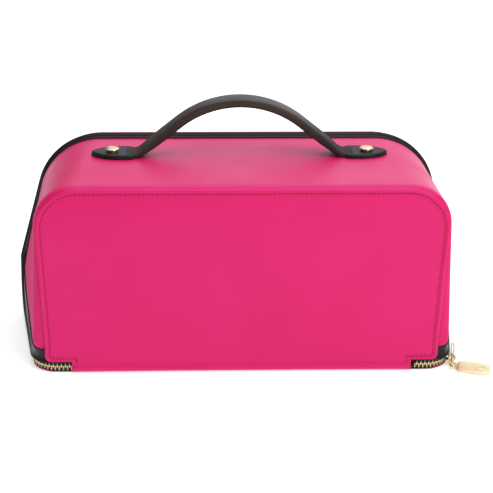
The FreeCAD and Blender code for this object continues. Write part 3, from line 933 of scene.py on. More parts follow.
@dataclass
class FrontPanel:
    """Flat leather front with a raised rim, a stitched groove and a tongue that bends under as the hinge.

    rim is the section from the edge inwards, as widths and rises in millimetres: up to the rim's top, down
    into the groove after the first to_groove steps, and up to the flat middle.
    """

    outline: Outline
    back_y: float = -0.0550
    edge_y: float = -0.0563
    foot: float = 0.0034
    notch_z: float = 0.0070
    notch_x: float = 0.104
    corner: float = 0.0042
    sew_in: float = 0.0031
    sew_depth: float = 0.00026
    to_groove: int = 6
    tongue_foot: float = 0.0046
    hinge_leather: float = 0.0009
    hinge_slack: float = 0.0004
    rim: tuple = (
        (0.35, 0.40), (0.45, 0.35), (0.55, 0.10), (0.45, -0.05), (0.40, -0.25),
        (0.35, -0.22), (0.50, -0.02), (0.35, 0.16), (0.40, 0.12),
    )

    def side(self, inset: float = 0.0) -> list[Vector]:
        """The right edge from above the notch to the middle of the top, as (x, z)."""
        low = (self.notch_z + inset) / self.outline.corner()[0].y
        wall, arc = 6, 14
        shares = [low, *(low + (1 - low) * i / wall for i in range(1, wall))]
        shares += [*(1 + i / arc for i in range(arc)), 2.0, 3.0]
        points = []
        for u in shares:
            here = self.outline.at(u)
            ahead = self.outline.at(u + 0.01) - self.outline.at(u - 0.01)
            points.append(here + Vector((-ahead.y, ahead.x)).normalized() * inset)
        return points

    def leather(self) -> bpy.types.Object:
        """Builds the panel."""
        right = [Vector((self.notch_x, self.foot)), Vector((self.notch_x, self.notch_z)), *self.side()]
        flat = right + [Vector((-p.x, p.y)) for p in reversed(right[:-1])]
        touch, clear = 1e-6, 0.002
        mesh = bmesh.new()
        verts = [mesh.verts.new((p.x, self.back_y, p.y)) for p in flat]
        mesh.faces.new(verts)
        low = [v for v in verts if abs(v.co.z - self.notch_z) < touch and abs(v.co.x) > self.notch_x + clear]
        bmesh.ops.bevel(
            mesh, geom=low, offset=self.corner, offset_type="OFFSET", affect="VERTICES",
            segments=5, profile=0.5, material=-1, clamp_overlap=True,
        )
        extruded(mesh, (0, self.edge_y - self.back_y, 0))
        stepped(mesh, min(mesh.faces, key=lambda face: face.calc_center_median().y), self.rim)
        thing = piece("front_panel_leather", mesh, PINK)
        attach(thing, "tray")
        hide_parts("front_panel")
        return thing

    def stitches(self) -> bpy.types.Object:
        """Sews the panel: up the tongue's sides, above the notches, up the sides and over the top."""
        sewn = self.side(self.sew_in)
        start = Vector((self.notch_x - self.sew_in, self.tongue_foot))
        turn = Vector((self.notch_x - self.sew_in, sewn[0].y))
        groove_y = self.edge_y - sum(rise for _, rise in self.rim[: self.to_groove]) * MM - self.sew_depth
        marks = [Mark(Vector((p.x, groove_y, p.y)), Vector((0, -1, 0))) for p in (start, turn, *sewn)]
        thing = Stitching().sew("front_panel_stitches", both_sides(marks), PINK_THREAD)
        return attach(thing, "tray")

    def hinge(self, base_y: float) -> bpy.types.Object:
        """Builds the leather bend under the tongue, from the panel's foot back to the base.

        Args:
            base_y: Where the base's cover starts.

        Returns:
            The bend.
        """
        low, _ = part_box("hinge_strip")
        radius = base_y - low.y
        half, across, around = self.notch_x, 40, 10
        columns = [half * (2 * i / across - 1) for i in range(across + 1)]
        rows = [[Vector((x, low.y, self.tongue_foot)) for x in columns]]
        for step in range(around + 1):
            turn = step / around * QUARTER
            y = base_y - radius * math.cos(turn)
            z = radius - radius * math.sin(turn)
            rows.append([Vector((x, y, z + self.slack(x, z))) for x in columns])
        mesh = bmesh.new()
        loft(mesh, rows)
        thing = piece("front_hinge_leather", mesh, PINK)
        thicken(thing, self.hinge_leather)
        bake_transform(thing)
        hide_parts("hinge_strip")
        return thing

    def slack(self, x: float, z: float) -> float:
        """How much the bend's leather bows up off the floor in the middle."""
        return self.hinge_slack * (1 - (x / self.notch_x) ** 2) * (1 - min(1.0, z / self.foot))


# ---------------------------------------------------------------- zip


@dataclass
class Zipper:
    """Metal zip round the case: two rows of teeth on corded tapes, one for the tray and one for the flap.

    Distances from the zip's middle line are towards the row's own side, and bend is where the flap's row
    starts and ends turning with the back.
    """

    line: Seam
    pitch: float = 0.0025
    tooth: float = 0.00105
    body_from: float = 0.0006
    body_to: float = 0.0027
    half_height: float = 0.00115
    rise: float = -0.0011
    head_reach: float = 0.0007
    tape_from: float = 0.0020
    tape_to: float = 0.0052
    flap_tape_to: float = 0.0030
    tape_gap: float = 0.0005
    tape_top: float = -0.0002
    tape_under: float = -0.0007
    cord: float = 0.0006
    cord_sunk: float = 0.0004
    softened: float = 0.00020
    start: float = 0.002
    nearest: float = 2e-5
    bend: tuple = ((0, 0.0407, 0.0027), (0, 0.0537, 0.0157))

    def pattern(self, side: int) -> bmesh.types.BMesh:
        """One tooth: a clamped body on the tape's cord and a narrower head past the middle.

        Args:
            side: 1 for the tray's row, -1 for the flap's.

        Returns:
            The tooth, X along the zip, Y towards the tray.
        """
        mesh = bmesh.new()
        blocks = (
            (self.body_from, self.body_to, self.half_height, self.tooth * 0.94),
            (-self.head_reach, self.body_from + 0.0003, self.half_height * 0.62, self.tooth),
        )
        for near, far, half, wide in blocks:
            made = bmesh.ops.create_cube(mesh, size=1.0)["verts"]
            size = Matrix.Diagonal((wide, far - near, 2 * half, 1))
            where = Matrix.Translation((0, side * (near + far) / 2, self.rise))
            bmesh.ops.transform(mesh, matrix=where @ size, verts=made)
        soften(mesh, mesh.edges[:], self.softened, segments=1)
        bmesh.ops.recalc_face_normals(mesh, faces=mesh.faces)
        return mesh

    def row(self, name: str, side: int) -> bpy.types.Object:
        """Builds a row of teeth, half a pitch from the other row's."""
        shift = self.pitch * (0.75 if side > 0 else 0.25) + self.start
        mesh = bmesh.new()
        repeat(mesh, self.pattern(side), spaced(self.line.marks(), self.pitch, shift))
        return piece(name, mesh, GOLD)

    def tape(self, name: str, side: int) -> bpy.types.Object:
        """Builds a row's tape with the cord along its edge."""
        corners = (math.radians(45 * i) for i in range(8))
        bead = [
            (side * (self.tape_from + self.cord * math.cos(a)), self.cord * math.sin(a) - self.cord_sunk)
            for a in corners
        ]
        near = side * (self.tape_from + self.tape_gap)
        far = side * (self.tape_to if side > 0 else self.flap_tape_to)
        flat = [(near, self.tape_top), (far, self.tape_top), (far, self.tape_under), (near, self.tape_under)]
        marks = self.line.marks()
        follow = [b for a, b in zip(marks, marks[1:]) if (b.point - a.point).length > self.nearest]
        places = placed([marks[0], *follow])
        mesh = bmesh.new()
        for section in (bead, flat):
            part = bmesh.new()
            sweep(part, places, section)
            add(mesh, part)
        return piece(name, mesh, TAPE)

    def build(self) -> None:
        """Builds both rows and both tapes."""
        tray_half = ((self.row, "tray_zip_teeth", "tray_teeth"), (self.tape, "tray_zip_tape", "tray_tape"))
        for maker, name, node in tray_half:
            thing = maker(name, 1)
            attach(thing, "tray")
            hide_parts(node)
        teeth = self.row("flap_zip_teeth", -1)
        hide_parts("base_teeth", "bend_teeth", "back_teeth")
        for thing in (teeth, self.tape("flap_zip_tape", -1)):
            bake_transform(thing)


# ---------------------------------------------------------------- flap: base, bend and back


@dataclass
class Flap:
    """The L-shaped flap: one leather skin and one lining from base through bend to back, and black edging.

    hem and edging_section are sections in millimetres: the skin's rolled edge as distances in from the form's
    side and heights, and the edging's outline as places beside the zip's middle line and above the surface.
    """

    form: CaseForm
    front_y: float
    outer: float
    bend: tuple
    radius: float = 0.027
    floor_steps: int = 26
    bend_steps: int = 18
    wall_steps: int = 8
    corner_steps: int = 16
    width_steps: int = 14
    leather: float = 0.0008
    cloth: float = 0.0004
    cloth_in: float = 0.0027
    hem: tuple = ((8, 0), (3, 0), (1.0, 0.05), (0.35, 0.30), (0.1, 0.8), (0.25, 1.3), (1.2, 1.6))
    edging_section: tuple = (
        (-2.9, -1.4), (-2.9, -0.3), (-3.2, -0.05), (-4.2, -0.05), (-4.8, -0.4), (-5.0, -1.0),
        (-4.9, -2.0), (-4.8, -8.0), (-4.9, -8.6), (-4.7, -9.1), (-3.6, -9.2), (-3.5, -1.5),
    )
    edging_seam: tuple = (-4.85, -7.2)

    def profile(self, depth: float, front: float) -> list[tuple[Vector, Vector, float]]:
        """The flap's side view from front to top.

        Args:
            depth: Distance outside the zip line.
            front: Where it starts.

        Returns:
            For each station the point (0, y, z), the way inwards and the form's half width there.
        """
        form = self.form
        bend_y = form.back.y - self.radius
        bend_z = ZIP_Z + self.radius
        made = []
        crowding, foot_u, least_z = 1.6, 0.02, 0.001
        for i in range(self.floor_steps + 1):
            y = front + (bend_y - front) * (i / self.floor_steps) ** crowding
            made.append((Vector((0, y, ZIP_Z - depth)), Vector((0, 0, 1)), form.point(y, foot_u).x))
        for i in range(1, self.bend_steps + 1):
            turn = i / self.bend_steps * QUARTER
            way = Vector((0, math.sin(turn), -math.cos(turn)))
            point = Vector((0, bend_y, bend_z)) + way * (self.radius + depth)
            y = min(point.y, form.back.y)
            made.append((point, -way, form.point(y, form.side_u(y, max(least_z, point.z))).x))
        low = form.side_u(form.back.y, bend_z)
        wall = [low + (1 - low) * i / self.wall_steps for i in range(1, self.wall_steps + 1)]
        corner = [1 + i / self.corner_steps for i in range(1, self.corner_steps + 1)]
        for u in wall + corner:
            edge = form.point(form.back.y, u)
            made.append((Vector((0, form.back.y + depth, edge.z)), Vector((0, -1, 0)), edge.x))
        return made

    def skin(self) -> bpy.types.Object:
        """Builds the pink cover, with its edge rolled up to the zip."""
        mesh = bmesh.new()
        rows = []
        hem_in = self.hem[0][0] * MM
        for point, inward, half in self.profile(self.outer, self.front_y):
            right = [(half - a * MM, b * MM) for a, b in self.hem]
            flat = [(half - hem_in) * (2 * i / self.width_steps - 1) for i in range(1, self.width_steps)]
            line = [(-x, r) for x, r in reversed(right)] + [(x, 0.0) for x in flat] + right
            rows.append([point + Vector((x, 0, 0)) + inward * rise for x, rise in line])
        loft(mesh, rows)
        thing = piece("flap_leather", mesh, PINK)
        thicken(thing, self.leather)
        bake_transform(thing)
        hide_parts("base_cover", "bend_cover", "back_cover", "bend_board")
        return thing

    def lining(self) -> bpy.types.Object:
        """Builds the cloth lining, with a folded edge."""
        low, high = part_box("base_lining")
        depth = ZIP_Z - high.z
        mesh = bmesh.new()
        rows = []
        for point, inward, half in self.profile(depth, low.y):
            half -= self.cloth_in
            line = [(-half, -0.6), (-half, -0.1), (-half + self.cloth, 0), (-half * 0.5, 0), (0, 0)]
            line += [(-x, rise) for x, rise in reversed(line[:-1])]
            rows.append([point + Vector((x, 0, 0)) + inward * rise * MM for x, rise in line])
        loft(mesh, rows[:-6])
        thing = piece("flap_lining_cloth", mesh, LINING)
        thicken(thing, self.cloth)
        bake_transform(thing)
        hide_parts("base_lining", "bend_lining", "back_lining")
        return thing

    def edging(self, line: Seam) -> bpy.types.Object:
        """Builds the black leather edging round the back."""
        places = placed(line.marks(Stage.UPRIGHT))
        mesh = bmesh.new()
        sweep(mesh, places, [(a * MM, b * MM) for a, b in self.edging_section])
        thing = piece("back_edging_leather", mesh, BLACK)
        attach(thing, "back")
        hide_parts("back_strip")
        seam = Vector((0, *self.edging_seam)) * MM
        sewn = [Mark(place @ seam, place.to_3x3() @ Vector((0, -1, 0))) for place in places]
        stitches = Stitching().sew("back_edging_stitches", sewn, BLACK_THREAD)
        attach(stitches, "back")
        return thing


# ---------------------------------------------------------------- handle


def rounded(half_width: float, low: float, high: float, size: float) -> list[tuple[float, float]]:
    """A rectangle with rounded corners as (side, out) points.

    Args:
        half_width: Half its width.
        low: Its lower side.
        high: Its upper side.
        size: The corners' radius.

    Returns:
        Four points on each corner, going round.
    """
    made = []
    for corner, (sx, sz) in enumerate(((1, 1), (-1, 1), (-1, -1), (1, -1))):
        for step in range(4):
            turn = math.radians(90 * corner + 30 * step)
            x = sx * (half_width - size) + size * math.cos(turn)
            z = (high - size if sz > 0 else low + size) + size * math.sin(turn)
            made.append((x, z))
    return made


@dataclass
class Handle:
    """Bridge handle: padded strap, two riveted leaf-shaped tabs and gold rivets.

    top is the height of the case's top and arch_top the strap's highest point. rim is a tab's section from
    its edge inwards, as widths and rises in millimetres.
    """

    y: float
    top: float
    arch_top: float
    radius: float = 0.060
    slope: float = 38.8
    width: float = 0.0148
    thick: float = 0.0050
    foot_thick: float = 0.0030
    foot_extra: float = 0.0009
    foot_bend: float = 0.009
    foot_length: float = 0.0075
    strap_edge: float = 0.0011
    bend_from: float = 0.0018
    bend_to: float = 0.0105
    tab_half: float = 0.0105
    tab_near: float = 0.0660
    tab_straight: float = 0.0748
    tab_tip: float = 0.0921
    tab_thick: float = 0.0023
    rim: tuple = ((0.25, 0.40), (0.40, 0.20), (0.40, 0.0), (0.20, -0.18), (0.20, 0.0), (0.20, 0.18))

    def line(self) -> list[Vector]:
        """The strap's middle line from the right tab over the top to the left tab, as (x, z)."""
        centre_z = self.arch_top - self.thick / 2 - self.radius
        slope = math.radians(self.slope)
        rest_z = self.top + self.foot_thick / 2
        tangent = self.arc(slope, centre_z)
        foot = Vector((tangent.x + (tangent.y - rest_z) / math.tan(slope), rest_z))
        bend = self.foot_bend
        centre = Vector((foot.x + bend * math.tan(slope / 2), rest_z + bend))
        low, rising, high = 8, 6, 22
        right = [Vector((foot.x + self.foot_length, rest_z))]
        for turn in (slope * i / low for i in range(low + 1)):
            right.append(centre + Vector((-math.sin(turn), -math.cos(turn))) * bend)
        right += [right[-1].lerp(tangent, i / rising) for i in range(1, rising)]
        right += [self.arc(slope * i / high, centre_z) for i in range(high, -1, -1)]
        return right + [Vector((-p.x, p.y)) for p in reversed(right[:-1])]

    def arc(self, turn: float, centre_z: float) -> Vector:
        """Point (x, z) of the strap's arch at a turn from its highest point."""
        return Vector((self.radius * math.sin(turn), centre_z + self.radius * math.cos(turn)))

    def strap(self) -> bpy.types.Object:
        """Builds the strap: rounded section, thinner and a little wider at its feet."""
        line = self.line()
        rows = []
        for index, point in enumerate(line):
            before, after = line[max(0, index - 1)], line[min(len(line) - 1, index + 1)]
            ahead = (after - before).normalized()
            rise = min(1.0, max(0.0, (point.y - self.top - self.foot_thick / 2) / 0.010))
            rise = rise * rise * (3 - 2 * rise)
            thick = self.foot_thick + (self.thick - self.foot_thick) * rise
            half = self.width / 2 + self.foot_extra * (1 - rise)
            up = Vector((ahead.y, 0, -ahead.x))
            place = basis(Vector((point.x, self.y, point.y)), Vector((ahead.x, 0, ahead.y)), up)
            section = rounded(half, -thick / 2, thick / 2, self.strap_edge)
            rows.append([place @ Vector((0, a, b)) for a, b in section])
        mesh = bmesh.new()
        loft(mesh, rows, closed=True)
        caps(mesh)
        tidy(mesh)
        thing = piece("handle_strap_leather", mesh, STRAP)
        low, high = self.top + self.bend_from, self.top + self.bend_to
        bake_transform(thing)
        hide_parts("handle_grip", "handle_root_left", "handle_root_right")
        return thing

    def tab(self, side: int, name: str) -> bpy.types.Object:
        """Builds a leaf-shaped tab with a pressed rim line.

        Args:
            side: 1 for right, -1 for left.
            name: Its CAD node.

        Returns:
            The tab.
        """
        near, half = self.tab_near, self.tab_half
        outline = [Vector((near, half * 0.93)), Vector((near + 0.0022, half))]
        for step in range(13):
            turn = math.radians(7 * step)
            x = self.tab_straight + (self.tab_tip - self.tab_straight) * math.sin(turn)
            outline.append(Vector((x, self.leaf(math.cos(turn)))))
        loop = outline + [Vector((p.x, -p.y)) for p in reversed(outline)]
        mesh = bmesh.new()
        mesh.faces.new([mesh.verts.new((side * p.x, self.y + p.y, self.top)) for p in loop])
        extruded(mesh, (0, 0, self.tab_thick))
        stepped(mesh, max(mesh.faces, key=lambda face: face.calc_center_median().z), self.rim)
        thing = piece(name + "_leather", mesh, BLACK)
        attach(thing, "tray")
        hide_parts(name)
        return thing

    def leaf(self, share: float) -> float:
        """Half width of a tab's leaf: share is 1 where it starts to narrow and 0 at its tip."""
        return self.tab_half * (0.25 * share + 0.75 * share**1.5)

    def rivet(self, name: str) -> bpy.types.Object:
        """Builds a turned rivet: post, collar and domed head."""
        low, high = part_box(name)
        centre = (low + high) / 2
        head = (high.x - low.x) / 2
        post, collar, neck = 0.0019, 0.0034, 0.0026
        profile = (
            (0.0, low.z), (post, low.z), (post, self.top + 0.0028), (collar, self.top + 0.0029),
            (collar, self.top + 0.0034), (neck, self.top + 0.0037), (neck, high.z - 0.0016),
            (head * 0.93, high.z - 0.0015), (head, high.z - 0.0011), (head * 0.97, high.z - 0.0007),
            (head * 0.80, high.z - 0.0003), (head * 0.5, high.z - 0.00007), (0.0, high.z),
        )
        mesh = bmesh.new()
        edges = chain(mesh, [Vector((centre.x + r, centre.y, z)) for r, z in profile])
        bmesh.ops.spin(
            mesh, geom=edges, cent=(centre.x, centre.y, 0), axis=(0, 0, 1),
            angle=2 * math.pi, steps=36, use_merge=True,
        )
        tidy(mesh)
        thing = piece(name + "_metal", mesh, GOLD)
        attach(thing, "tray")
        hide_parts(name)
        return thing

    def build(self) -> None:
        """Builds strap, tabs and rivets."""
        self.strap()
        for side, word in ((-1, "left"), (1, "right")):
            self.tab(side, "handle_tab_" + word)
            self.rivet("rivet_" + word)


# ---------------------------------------------------------------- slider and pull


def block(mesh: bmesh.types.BMesh, low: tuple, high: tuple) -> list[bmesh.types.BMVert]:
    """Adds a box between two corners given in millimetres."""
    made = bmesh.ops.create_cube(mesh, size=1.0)["verts"]
    size = [(b - a) * MM for a, b in zip(low, high)]
    middle = [(a + b) / 2 * MM for a, b in zip(low, high)]
    bmesh.ops.transform(mesh, matrix=Matrix.Translation(middle) @ Matrix.Diagonal((*size, 1)), verts=made)
    return made


def rod(mesh: bmesh.types.BMesh, points: Sequence[tuple], radius: float, closed: bool = False) -> None:
    """Adds a round wire.

    Args:
        mesh: The mesh to add to.
        points: The wire's points in millimetres, all in one plane through X and Z or X and Y.
        radius: Its radius in millimetres.
        closed: Whether its ends meet.
    """
    line = [Vector(point) * MM for point in points]
    turns = [math.radians(36 * i) for i in range(10)]
    ring = [Vector((0, math.cos(turn), math.sin(turn))) * radius * MM for turn in turns]
    rows = []
    count = len(line)
    for index, point in enumerate(line):
        before = line[index - 1] if closed or index else line[0]
        after = line[(index + 1) % count] if closed or index < count - 1 else line[-1]
        ahead = (after - before).normalized()
        guide = Vector((0, 1, 0)) if abs(ahead.y) < 0.9 else Vector((0, 0, 1))
        place = basis(point, ahead, guide)
        rows.append([place @ offset for offset in ring])
    if closed:
        rows.append(rows[0])
    part = bmesh.new()
    loft(part, rows, closed=True)
    if not closed:
        caps(part)
    tidy(part)
    add(mesh, part)


def hoop(
    mesh: bmesh.types.BMesh, points: Sequence[tuple], section: Sequence[tuple[float, float]], out: tuple
) -> None:
    """Adds a closed wire of any section.

    Args:
        mesh: The mesh to add to.
        points: The wire's points in millimetres, all in one plane.
        section: The (side, out) points of its section in metres.
        out: The way that the section's second axis points.
    """
    line = [Vector(point) for point in points]
    rows = []
    for index, point in enumerate(line):
        ahead = (line[(index + 1) % len(line)] - line[index - 1]).normalized()
        place = basis(point * MM, ahead, Vector(out))
        rows.append([place @ Vector((0, a, b)) for a, b in section])
    part = bmesh.new()
    loft(part, [*rows, rows[0]], closed=True)
    tidy(part)
    add(mesh, part)


@dataclass
class Pull:
    """Slider on the right side wall with its crown and lock eye, link and flat tab.

    pin, bar and way are in metres, and the other sizes in millimetres, with X out of the wall, Y along the
    zip and Z up. crown_half, eye and link_half are points in their own plane, and a half is mirrored.
    """

    pin: Vector
    bar: Vector
    way: Vector
    pin_out: float = 3.45
    plate_half: float = 5.5
    plate_narrows: float = 0.72
    crown_half: tuple = ((2.0, 4.2), (3.4, 4.1), (4.6, 3.3), (5.1, 2.0))
    crown_radius: float = 0.75
    eye_y: float = -3.5
    eye: tuple = (
        (2.62, 2.9), (2.75, 4.0), (2.75, 7.0), (2.85, 10.5), (3.3, 11.2),
        (3.9, 10.8), (4.3, 9.7), (4.4, 7.2), (4.25, 5.0), (3.7, 3.7),
    )
    eye_radius: float = 0.45
    link_half: tuple = ((0.4, 1.9), (0.1, 2.35), (-0.5, 2.5), (-9.5, 2.5), (-10.1, 2.35), (-10.4, 1.9))
    tab_half: float = 4.7
    tab_length: float = 24.0
    tab_neck: float = 2.3
    tab_thick: float = 1.3
    tab_turn: float = -20.0
    tab_tilt: float = 22.0
    slot_from: float = -0.1
    slot_to: float = 1.4
    oval_half: tuple = (3.0, 2.0)

    def wall(self) -> Matrix:
        """Place of the slider: X out of the wall, Y along the zip, Z up, at its middle on the wall."""
        out = self.way.cross(Vector((0, 0, 1))).normalized()
        origin = self.pin - out * self.pin_out * MM
        turn = Matrix((out, self.way.normalized(), Vector((0, 0, 1)))).transposed().to_4x4()
        return Matrix.Translation(origin) @ turn

    def finish(
        self, name: str, mesh: bmesh.types.BMesh, place: Matrix, body: str, node: str, metal: Metal = GOLD
    ) -> bpy.types.Object:
        """Places a mesh, makes it a piece and puts it on its body.

        Args:
            name: The piece's name.
            mesh: Its geometry.
            place: Where it goes.
            body: The body that it moves with.
            node: The CAD node that it stands for.
            metal: What it is made of.

        Returns:
            The piece.
        """
        bmesh.ops.transform(mesh, matrix=place, verts=mesh.verts)
        thing = piece(name, mesh, metal)
        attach(thing, body)
        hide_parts(node)
        return thing

    def slider(self) -> bpy.types.Object:
        """Builds the slider's plates, neck, crown and lock eye."""
        mesh = bmesh.new()
        half = self.plate_half
        outer = block(mesh, (1.1, -half, -3.2), (2.3, half, 3.2))
        inner = block(mesh, (-3.85, -half, -0.8), (-2.65, half, 2.5))
        for vert in [*outer, *inner]:
            if vert.co.y > 0:
                vert.co.z *= self.plate_narrows
        block(mesh, (-2.7, -4.0, -0.2), (1.2, 0.5, 0.2))
        soften(mesh, sharp(mesh), size=0.0003)
        crown = [(x, -y, 0) for x, y in self.crown_half] + [(x, y, 0) for x, y in reversed(self.crown_half)]
        rod(mesh, crown, self.crown_radius)
        rod(mesh, [(x, self.eye_y, z) for x, z in self.eye], self.eye_radius, closed=True)
        return self.finish("zip_slider", mesh, self.wall(), "slider", "slider_body")

    def link(self) -> bpy.types.Object:
        """Builds the link: a slim ring from the crown to the tab."""
        mesh = bmesh.new()
        ring = [*self.link_half, *((y, -z) for y, z in reversed(self.link_half))]
        section = rounded(0.00055, -0.00065, 0.00065, 0.0003)
        hoop(mesh, [(self.pin_out, y, z) for y, z in ring], section, out=(1, 0, 0))
        return self.finish("pull_link_metal", mesh, self.wall(), "pull_link", "pull_link")

    def tab(self) -> bpy.types.Object:
        """Builds the flat tab: slotted neck, round far end with a shallow oval."""
        half, length, neck = self.tab_half, self.tab_length, self.tab_neck
        outline = [(-1.2, -neck + 0.5), (-0.7, -neck), (2.6, -neck)]
        outline += [(3.4, -3.2), (4.2, -half + 0.2), (5.2, -half)]
        for turn in (math.radians(15 * i) for i in range(7)):
            outline.append((length - half + half * math.sin(turn), -half * math.cos(turn)))
        loop = outline + [(x, -y) for x, y in reversed(outline[:-1])]
        mesh = bmesh.new()
        mesh.faces.new([mesh.verts.new((x * MM, y * MM, 0)) for x, y in loop])
        extruded(mesh, (0, 0, self.tab_thick * MM))
        self.slot(mesh)
        touch = 1e-6
        level = [edge for edge in sharp(mesh, 50) if abs(edge.verts[0].co.z - edge.verts[1].co.z) < touch]
        soften(mesh, level, size=0.00028)
        self.oval(mesh, length - half - 1.2)
        box_low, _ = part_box("pull_tab")
        turn = Matrix.Rotation(math.radians(self.tab_turn), 4, "Z")
        tilt = Matrix.Rotation(math.radians(self.tab_tilt), 4, "X")
        bmesh.ops.transform(mesh, matrix=turn @ tilt, verts=mesh.verts)
        lowest = min(vert.co.z for vert in mesh.verts)
        place = Matrix.Translation((self.bar.x, self.bar.y, box_low.z - lowest))
        return self.finish("pull_tab_metal", mesh, place, "pull_tab", "pull_tab", SATIN)

    def slot(self, mesh: bmesh.types.BMesh) -> None:
        """Cuts the neck's slot by joining matching openings in the two faces."""
        near, far, clear = self.slot_from, self.slot_to, 0.05
        hole = [(near, -far), (far, -far), (far, far), (near, far)]
        rims = []
        for face in [face for face in mesh.faces if len(face.verts) > 8]:
            z = face.calc_center_median().z
            ring = chain(mesh, [Vector((x * MM, y * MM, z)) for x, y in hole], closed=True)
            bounds = list(face.edges)
            mesh.faces.remove(face)
            bmesh.ops.triangle_fill(mesh, edges=bounds + ring, use_beauty=True)
            rims += ring
        low, high = (near - clear) * MM, (far + clear) * MM
        inner = [f for f in mesh.faces if all(low < v.co.x < high and abs(v.co.y) < high for v in f.verts)]
        bmesh.ops.delete(mesh, geom=inner, context="FACES_ONLY")
        bmesh.ops.bridge_loops(mesh, edges=rims)
        bmesh.ops.recalc_face_normals(mesh, faces=mesh.faces)

    def oval(self, mesh: bmesh.types.BMesh, x: float) -> None:
        """Adds a thin raised oval ring on the tab's upper face, with its centre at x."""
        turns = [math.radians(15 * i) for i in range(24)]
        long, short = self.oval_half
        points = [(x + long * math.cos(a), short * math.sin(a), self.tab_thick) for a in turns]
        hoop(mesh, points, rounded(0.00028, -0.0002, 0.00018, 0.0001), out=(0, 0, 1))

    def build(self) -> None:
        """Builds slider, link and tab."""
        self.slider()
        self.link()
        self.tab()


# ---------------------------------------------------------------- inside


@dataclass
class BrushPocket:
    """Padded brush sleeve on the back's lining, with an elastic band sewn into loops."""

    channels: int = 7
    columns: int = 84
    bulge: float = 0.0018
    elastic: float = 0.0007

    def cloth(self, node: str, rows: int, stand: Callable[[float, float], float]) -> bmesh.types.BMesh:
        """Makes a skin in front of a node's rear face.

        Args:
            node: The CAD node.
            rows: The count of rows up it.
            stand: How far forward it stands at its shares across and up.

        Returns:
            The skin.
        """
        low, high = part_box(node)
        lines = []
        for t in (j / rows for j in range(rows + 1)):
            z = low.z + (high.z - low.z) * t
            line = []
            for s in (i / self.columns for i in range(self.columns + 1)):
                line.append(Vector((low.x + (high.x - low.x) * s, high.y - stand(s, t), z)))
            lines.append(line)
        mesh = bmesh.new()
        loft(mesh, lines)
        return mesh

    def loops(self, share: float, roundness: float) -> float:
        """0 on each sewn line between two channels and 1 half way between them, at a share across."""
        return abs(math.sin(share * self.channels * math.pi)) ** roundness

    def sleeve(self) -> bpy.types.Object:
        """Builds the padded backing, puffed between sewn lines."""
        low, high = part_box("brush_sleeve")
        depth = high.y - low.y

        def stand(s: float, t: float) -> float:
            """Flat at the sewn lines and hems, puffed between."""
            return depth * (0.35 + 0.65 * self.loops(s, 0.5) * min(1, 8 * t, 8 * (1 - t)))

        mesh = self.cloth("brush_sleeve", 14, stand)
        thing = piece("brush_sleeve_cloth", mesh, LINING)
        thicken(thing, depth * 0.3)
        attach(thing, "back")
        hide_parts("brush_sleeve")
        return thing

    def band(self) -> bpy.types.Object:
        """Builds the elastic, standing slightly off the sleeve between its stitches."""
        mesh = self.cloth("brush_band", 8, lambda s, t: 0.0002 + self.bulge * self.loops(s, 0.6))
        thing = piece("brush_band_elastic", mesh, ELASTIC)
        thicken(thing, self.elastic)
        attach(thing, "back")
        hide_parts("brush_band")
        return thing


# ---------------------------------------------------------------- main


@dataclass(frozen=True)
class Lamp:
    """A soft square studio light that faces the case."""

    name: str
    place: tuple
    size: float
    power: float
    colour: tuple

    def hang(self, aim: Vector) -> None:
        """Adds the light, turned to a point."""
        lamp = bpy.data.lights.new(self.name, "AREA")
        lamp.size = self.size
        lamp.energy = self.power
        lamp.color = self.colour
        lit = bpy.data.objects.new(self.name, lamp)
        lit.location = self.place
        lit.rotation_euler = (aim - Vector(self.place)).to_track_quat("-Z", "Y").to_euler()
        bpy.context.scene.collection.objects.link(lit)


@dataclass(frozen=True)
class Studio:
    """White floor, bright surround and four lamps."""

    floor_half: float = 6.0
    floor_colour: tuple = (0.80, 0.83, 0.82, 1)
    floor_glow: float = 0.50
    surround: float = 0.31
    aim: tuple = (0, 0, 0.05)
    lamps: tuple = (
        Lamp("top", (0.30, 0.25, 1.6), 2.6, 24.5, (1.0, 0.96, 1.12)),
        Lamp("back", (0.50, 1.8, 0.80), 1.8, 8.0, (0.98, 0.94, 1.08)),
        Lamp("right", (0.9, -1.3, 0.8), 1.0, 10.4, (1.0, 1.0, 0.95)),
        Lamp("ridge", (0.20, -0.62, 1.6), 0.7, 7.0, (0.98, 0.96, 1.04)),
    )

    def floor(self) -> None:
        """Lays the floor."""
        mesh = bmesh.new()
        bmesh.ops.create_grid(mesh, x_segments=1, y_segments=1, size=self.floor_half)
        data = bpy.data.meshes.new("floor")
        mesh.to_mesh(data)
        mesh.free()
        floor = bpy.data.objects.new("floor", data)
        bpy.context.scene.collection.objects.link(floor)
        shade = Shade("floor_white")
        shade.set(Base_Color=self.floor_colour, Roughness=0.9, Specular_IOR_Level=0.1)
        shade.set(Emission_Color=(1, 1, 1, 1), Emission_Strength=self.floor_glow)
        data.materials.append(shade.material)

    def light(self) -> None:
        """Lights the surround and hangs the lamps."""
        world = bpy.data.worlds.new("surround")
        world.use_nodes = True
        background = world.node_tree.nodes["Background"]
        background.inputs["Color"].default_value = (1, 1, 1, 1)
        background.inputs["Strength"].default_value = self.surround
        bpy.context.scene.world = world
        for lamp in self.lamps:
            lamp.hang(Vector(self.aim))


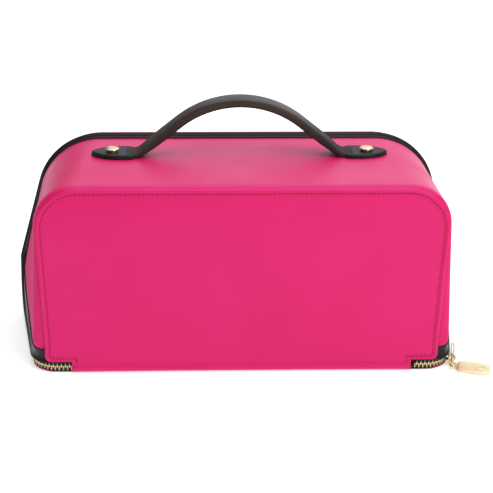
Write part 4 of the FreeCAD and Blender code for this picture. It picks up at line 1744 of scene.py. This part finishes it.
@dataclass(frozen=True)
class Camera:
    """Looks slightly down on the front, from a little to the left. Turns are in degrees."""

    aim: tuple = (0.0045, -0.0022, 0.0621)
    yaw: float = -2.67
    pitch: float = 20.0
    roll: float = 0.61
    away: float = 1.3
    sensor: float = 36.0
    focal: float = 151.1

    def stand(self) -> None:
        """Adds the camera and makes it the scene's own."""
        yaw, pitch, roll = (math.radians(turn) for turn in (self.yaw, self.pitch, self.roll))
        back = Vector((math.sin(yaw) * math.cos(pitch), -math.cos(yaw) * math.cos(pitch), math.sin(pitch)))
        lens = bpy.data.cameras.new("camera")
        lens.sensor_width = self.sensor
        lens.lens = self.focal
        eye = bpy.data.objects.new("camera", lens)
        eye.rotation_mode = "QUATERNION"
        turn = (-back).to_track_quat("-Z", "Y").to_matrix() @ Matrix.Rotation(roll, 3, "Z")
        eye.rotation_quaternion = turn.to_quaternion()
        eye.location = Vector(self.aim) + back * self.away
        bpy.context.scene.collection.objects.link(eye)
        bpy.context.scene.camera = eye


def dress_nodes() -> None:
    """Gives each CAD node the finish of its slot."""
    finishes = {finish.name: finish for finish in (PINK, BLACK, GOLD, TAPE, LINING, ELASTIC, BOARD)}
    slots = {part["node"]: part["material_slot"] for part in frame["record"]["subparts"]}
    for name, thing in frame["nodes"].items():
        thing.data.materials.clear()
        thing.data.materials.append(dressed(finishes[slots[name]]))


def main() -> None:
    """Builds every part of the case in order."""
    logging.basicConfig(level=logging.INFO, format="%(message)s")
    bpy.context.scene.view_settings.view_transform = "Standard"
    form = CaseForm()
    border = Seam(form, foot=0.0155, bend_y=0.009, bend_z=0.022, back_y=0.0425, back_z=0.058)
    edge = Seam(form, foot=0.0064, bend_y=0.026, bend_z=0.0064, back_y=0.050, back_z=0.0304)
    line = Seam(form, foot=ZIP_Z, bend_y=0.026, bend_z=ZIP_Z, back_y=form.back.y, back_z=0.0304)
    tray = Tray(form, border, edge)
    tray.gusset()
    tray.strip()
    tray.corner_cloth()
    panel_outline = Station(
        -0.0572, half_zip=0.1202, half_low=0.1202, knee=0.020, half_top=0.1262, top=0.1180, radius=0.025
    )
    panel = FrontPanel(Outline(panel_outline))
    panel.leather()
    panel.stitches()
    panel.hinge(BASE_FRONT)
    zipper = Zipper(line)
    zipper.build()
    flap = Flap(form, BASE_FRONT, FLAP_BELOW_ZIP, zipper.bend)
    flap.skin()
    flap.lining()
    flap.edging(line)
    tab_low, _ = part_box("handle_tab_right")
    grip_low, grip_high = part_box("handle_grip")
    Handle((grip_low.y + grip_high.y) / 2, tab_low.z, grip_high.z).build()
    joints = {joint["name"]: joint for joint in frame["joints"]}
    pin = Vector(joints["pull_swing"]["pos_m"])
    bar = Vector(joints["pull_tab_turn"]["pos_m"])
    Pull(pin, bar, Vector(joints["zip_slide"]["axis"])).build()
    pocket = BrushPocket()
    pocket.sleeve()
    pocket.band()
    dress_nodes()
    studio = Studio()
    studio.floor()
    studio.light()
    Camera().stand()


if __name__ == "__main__":
    main()
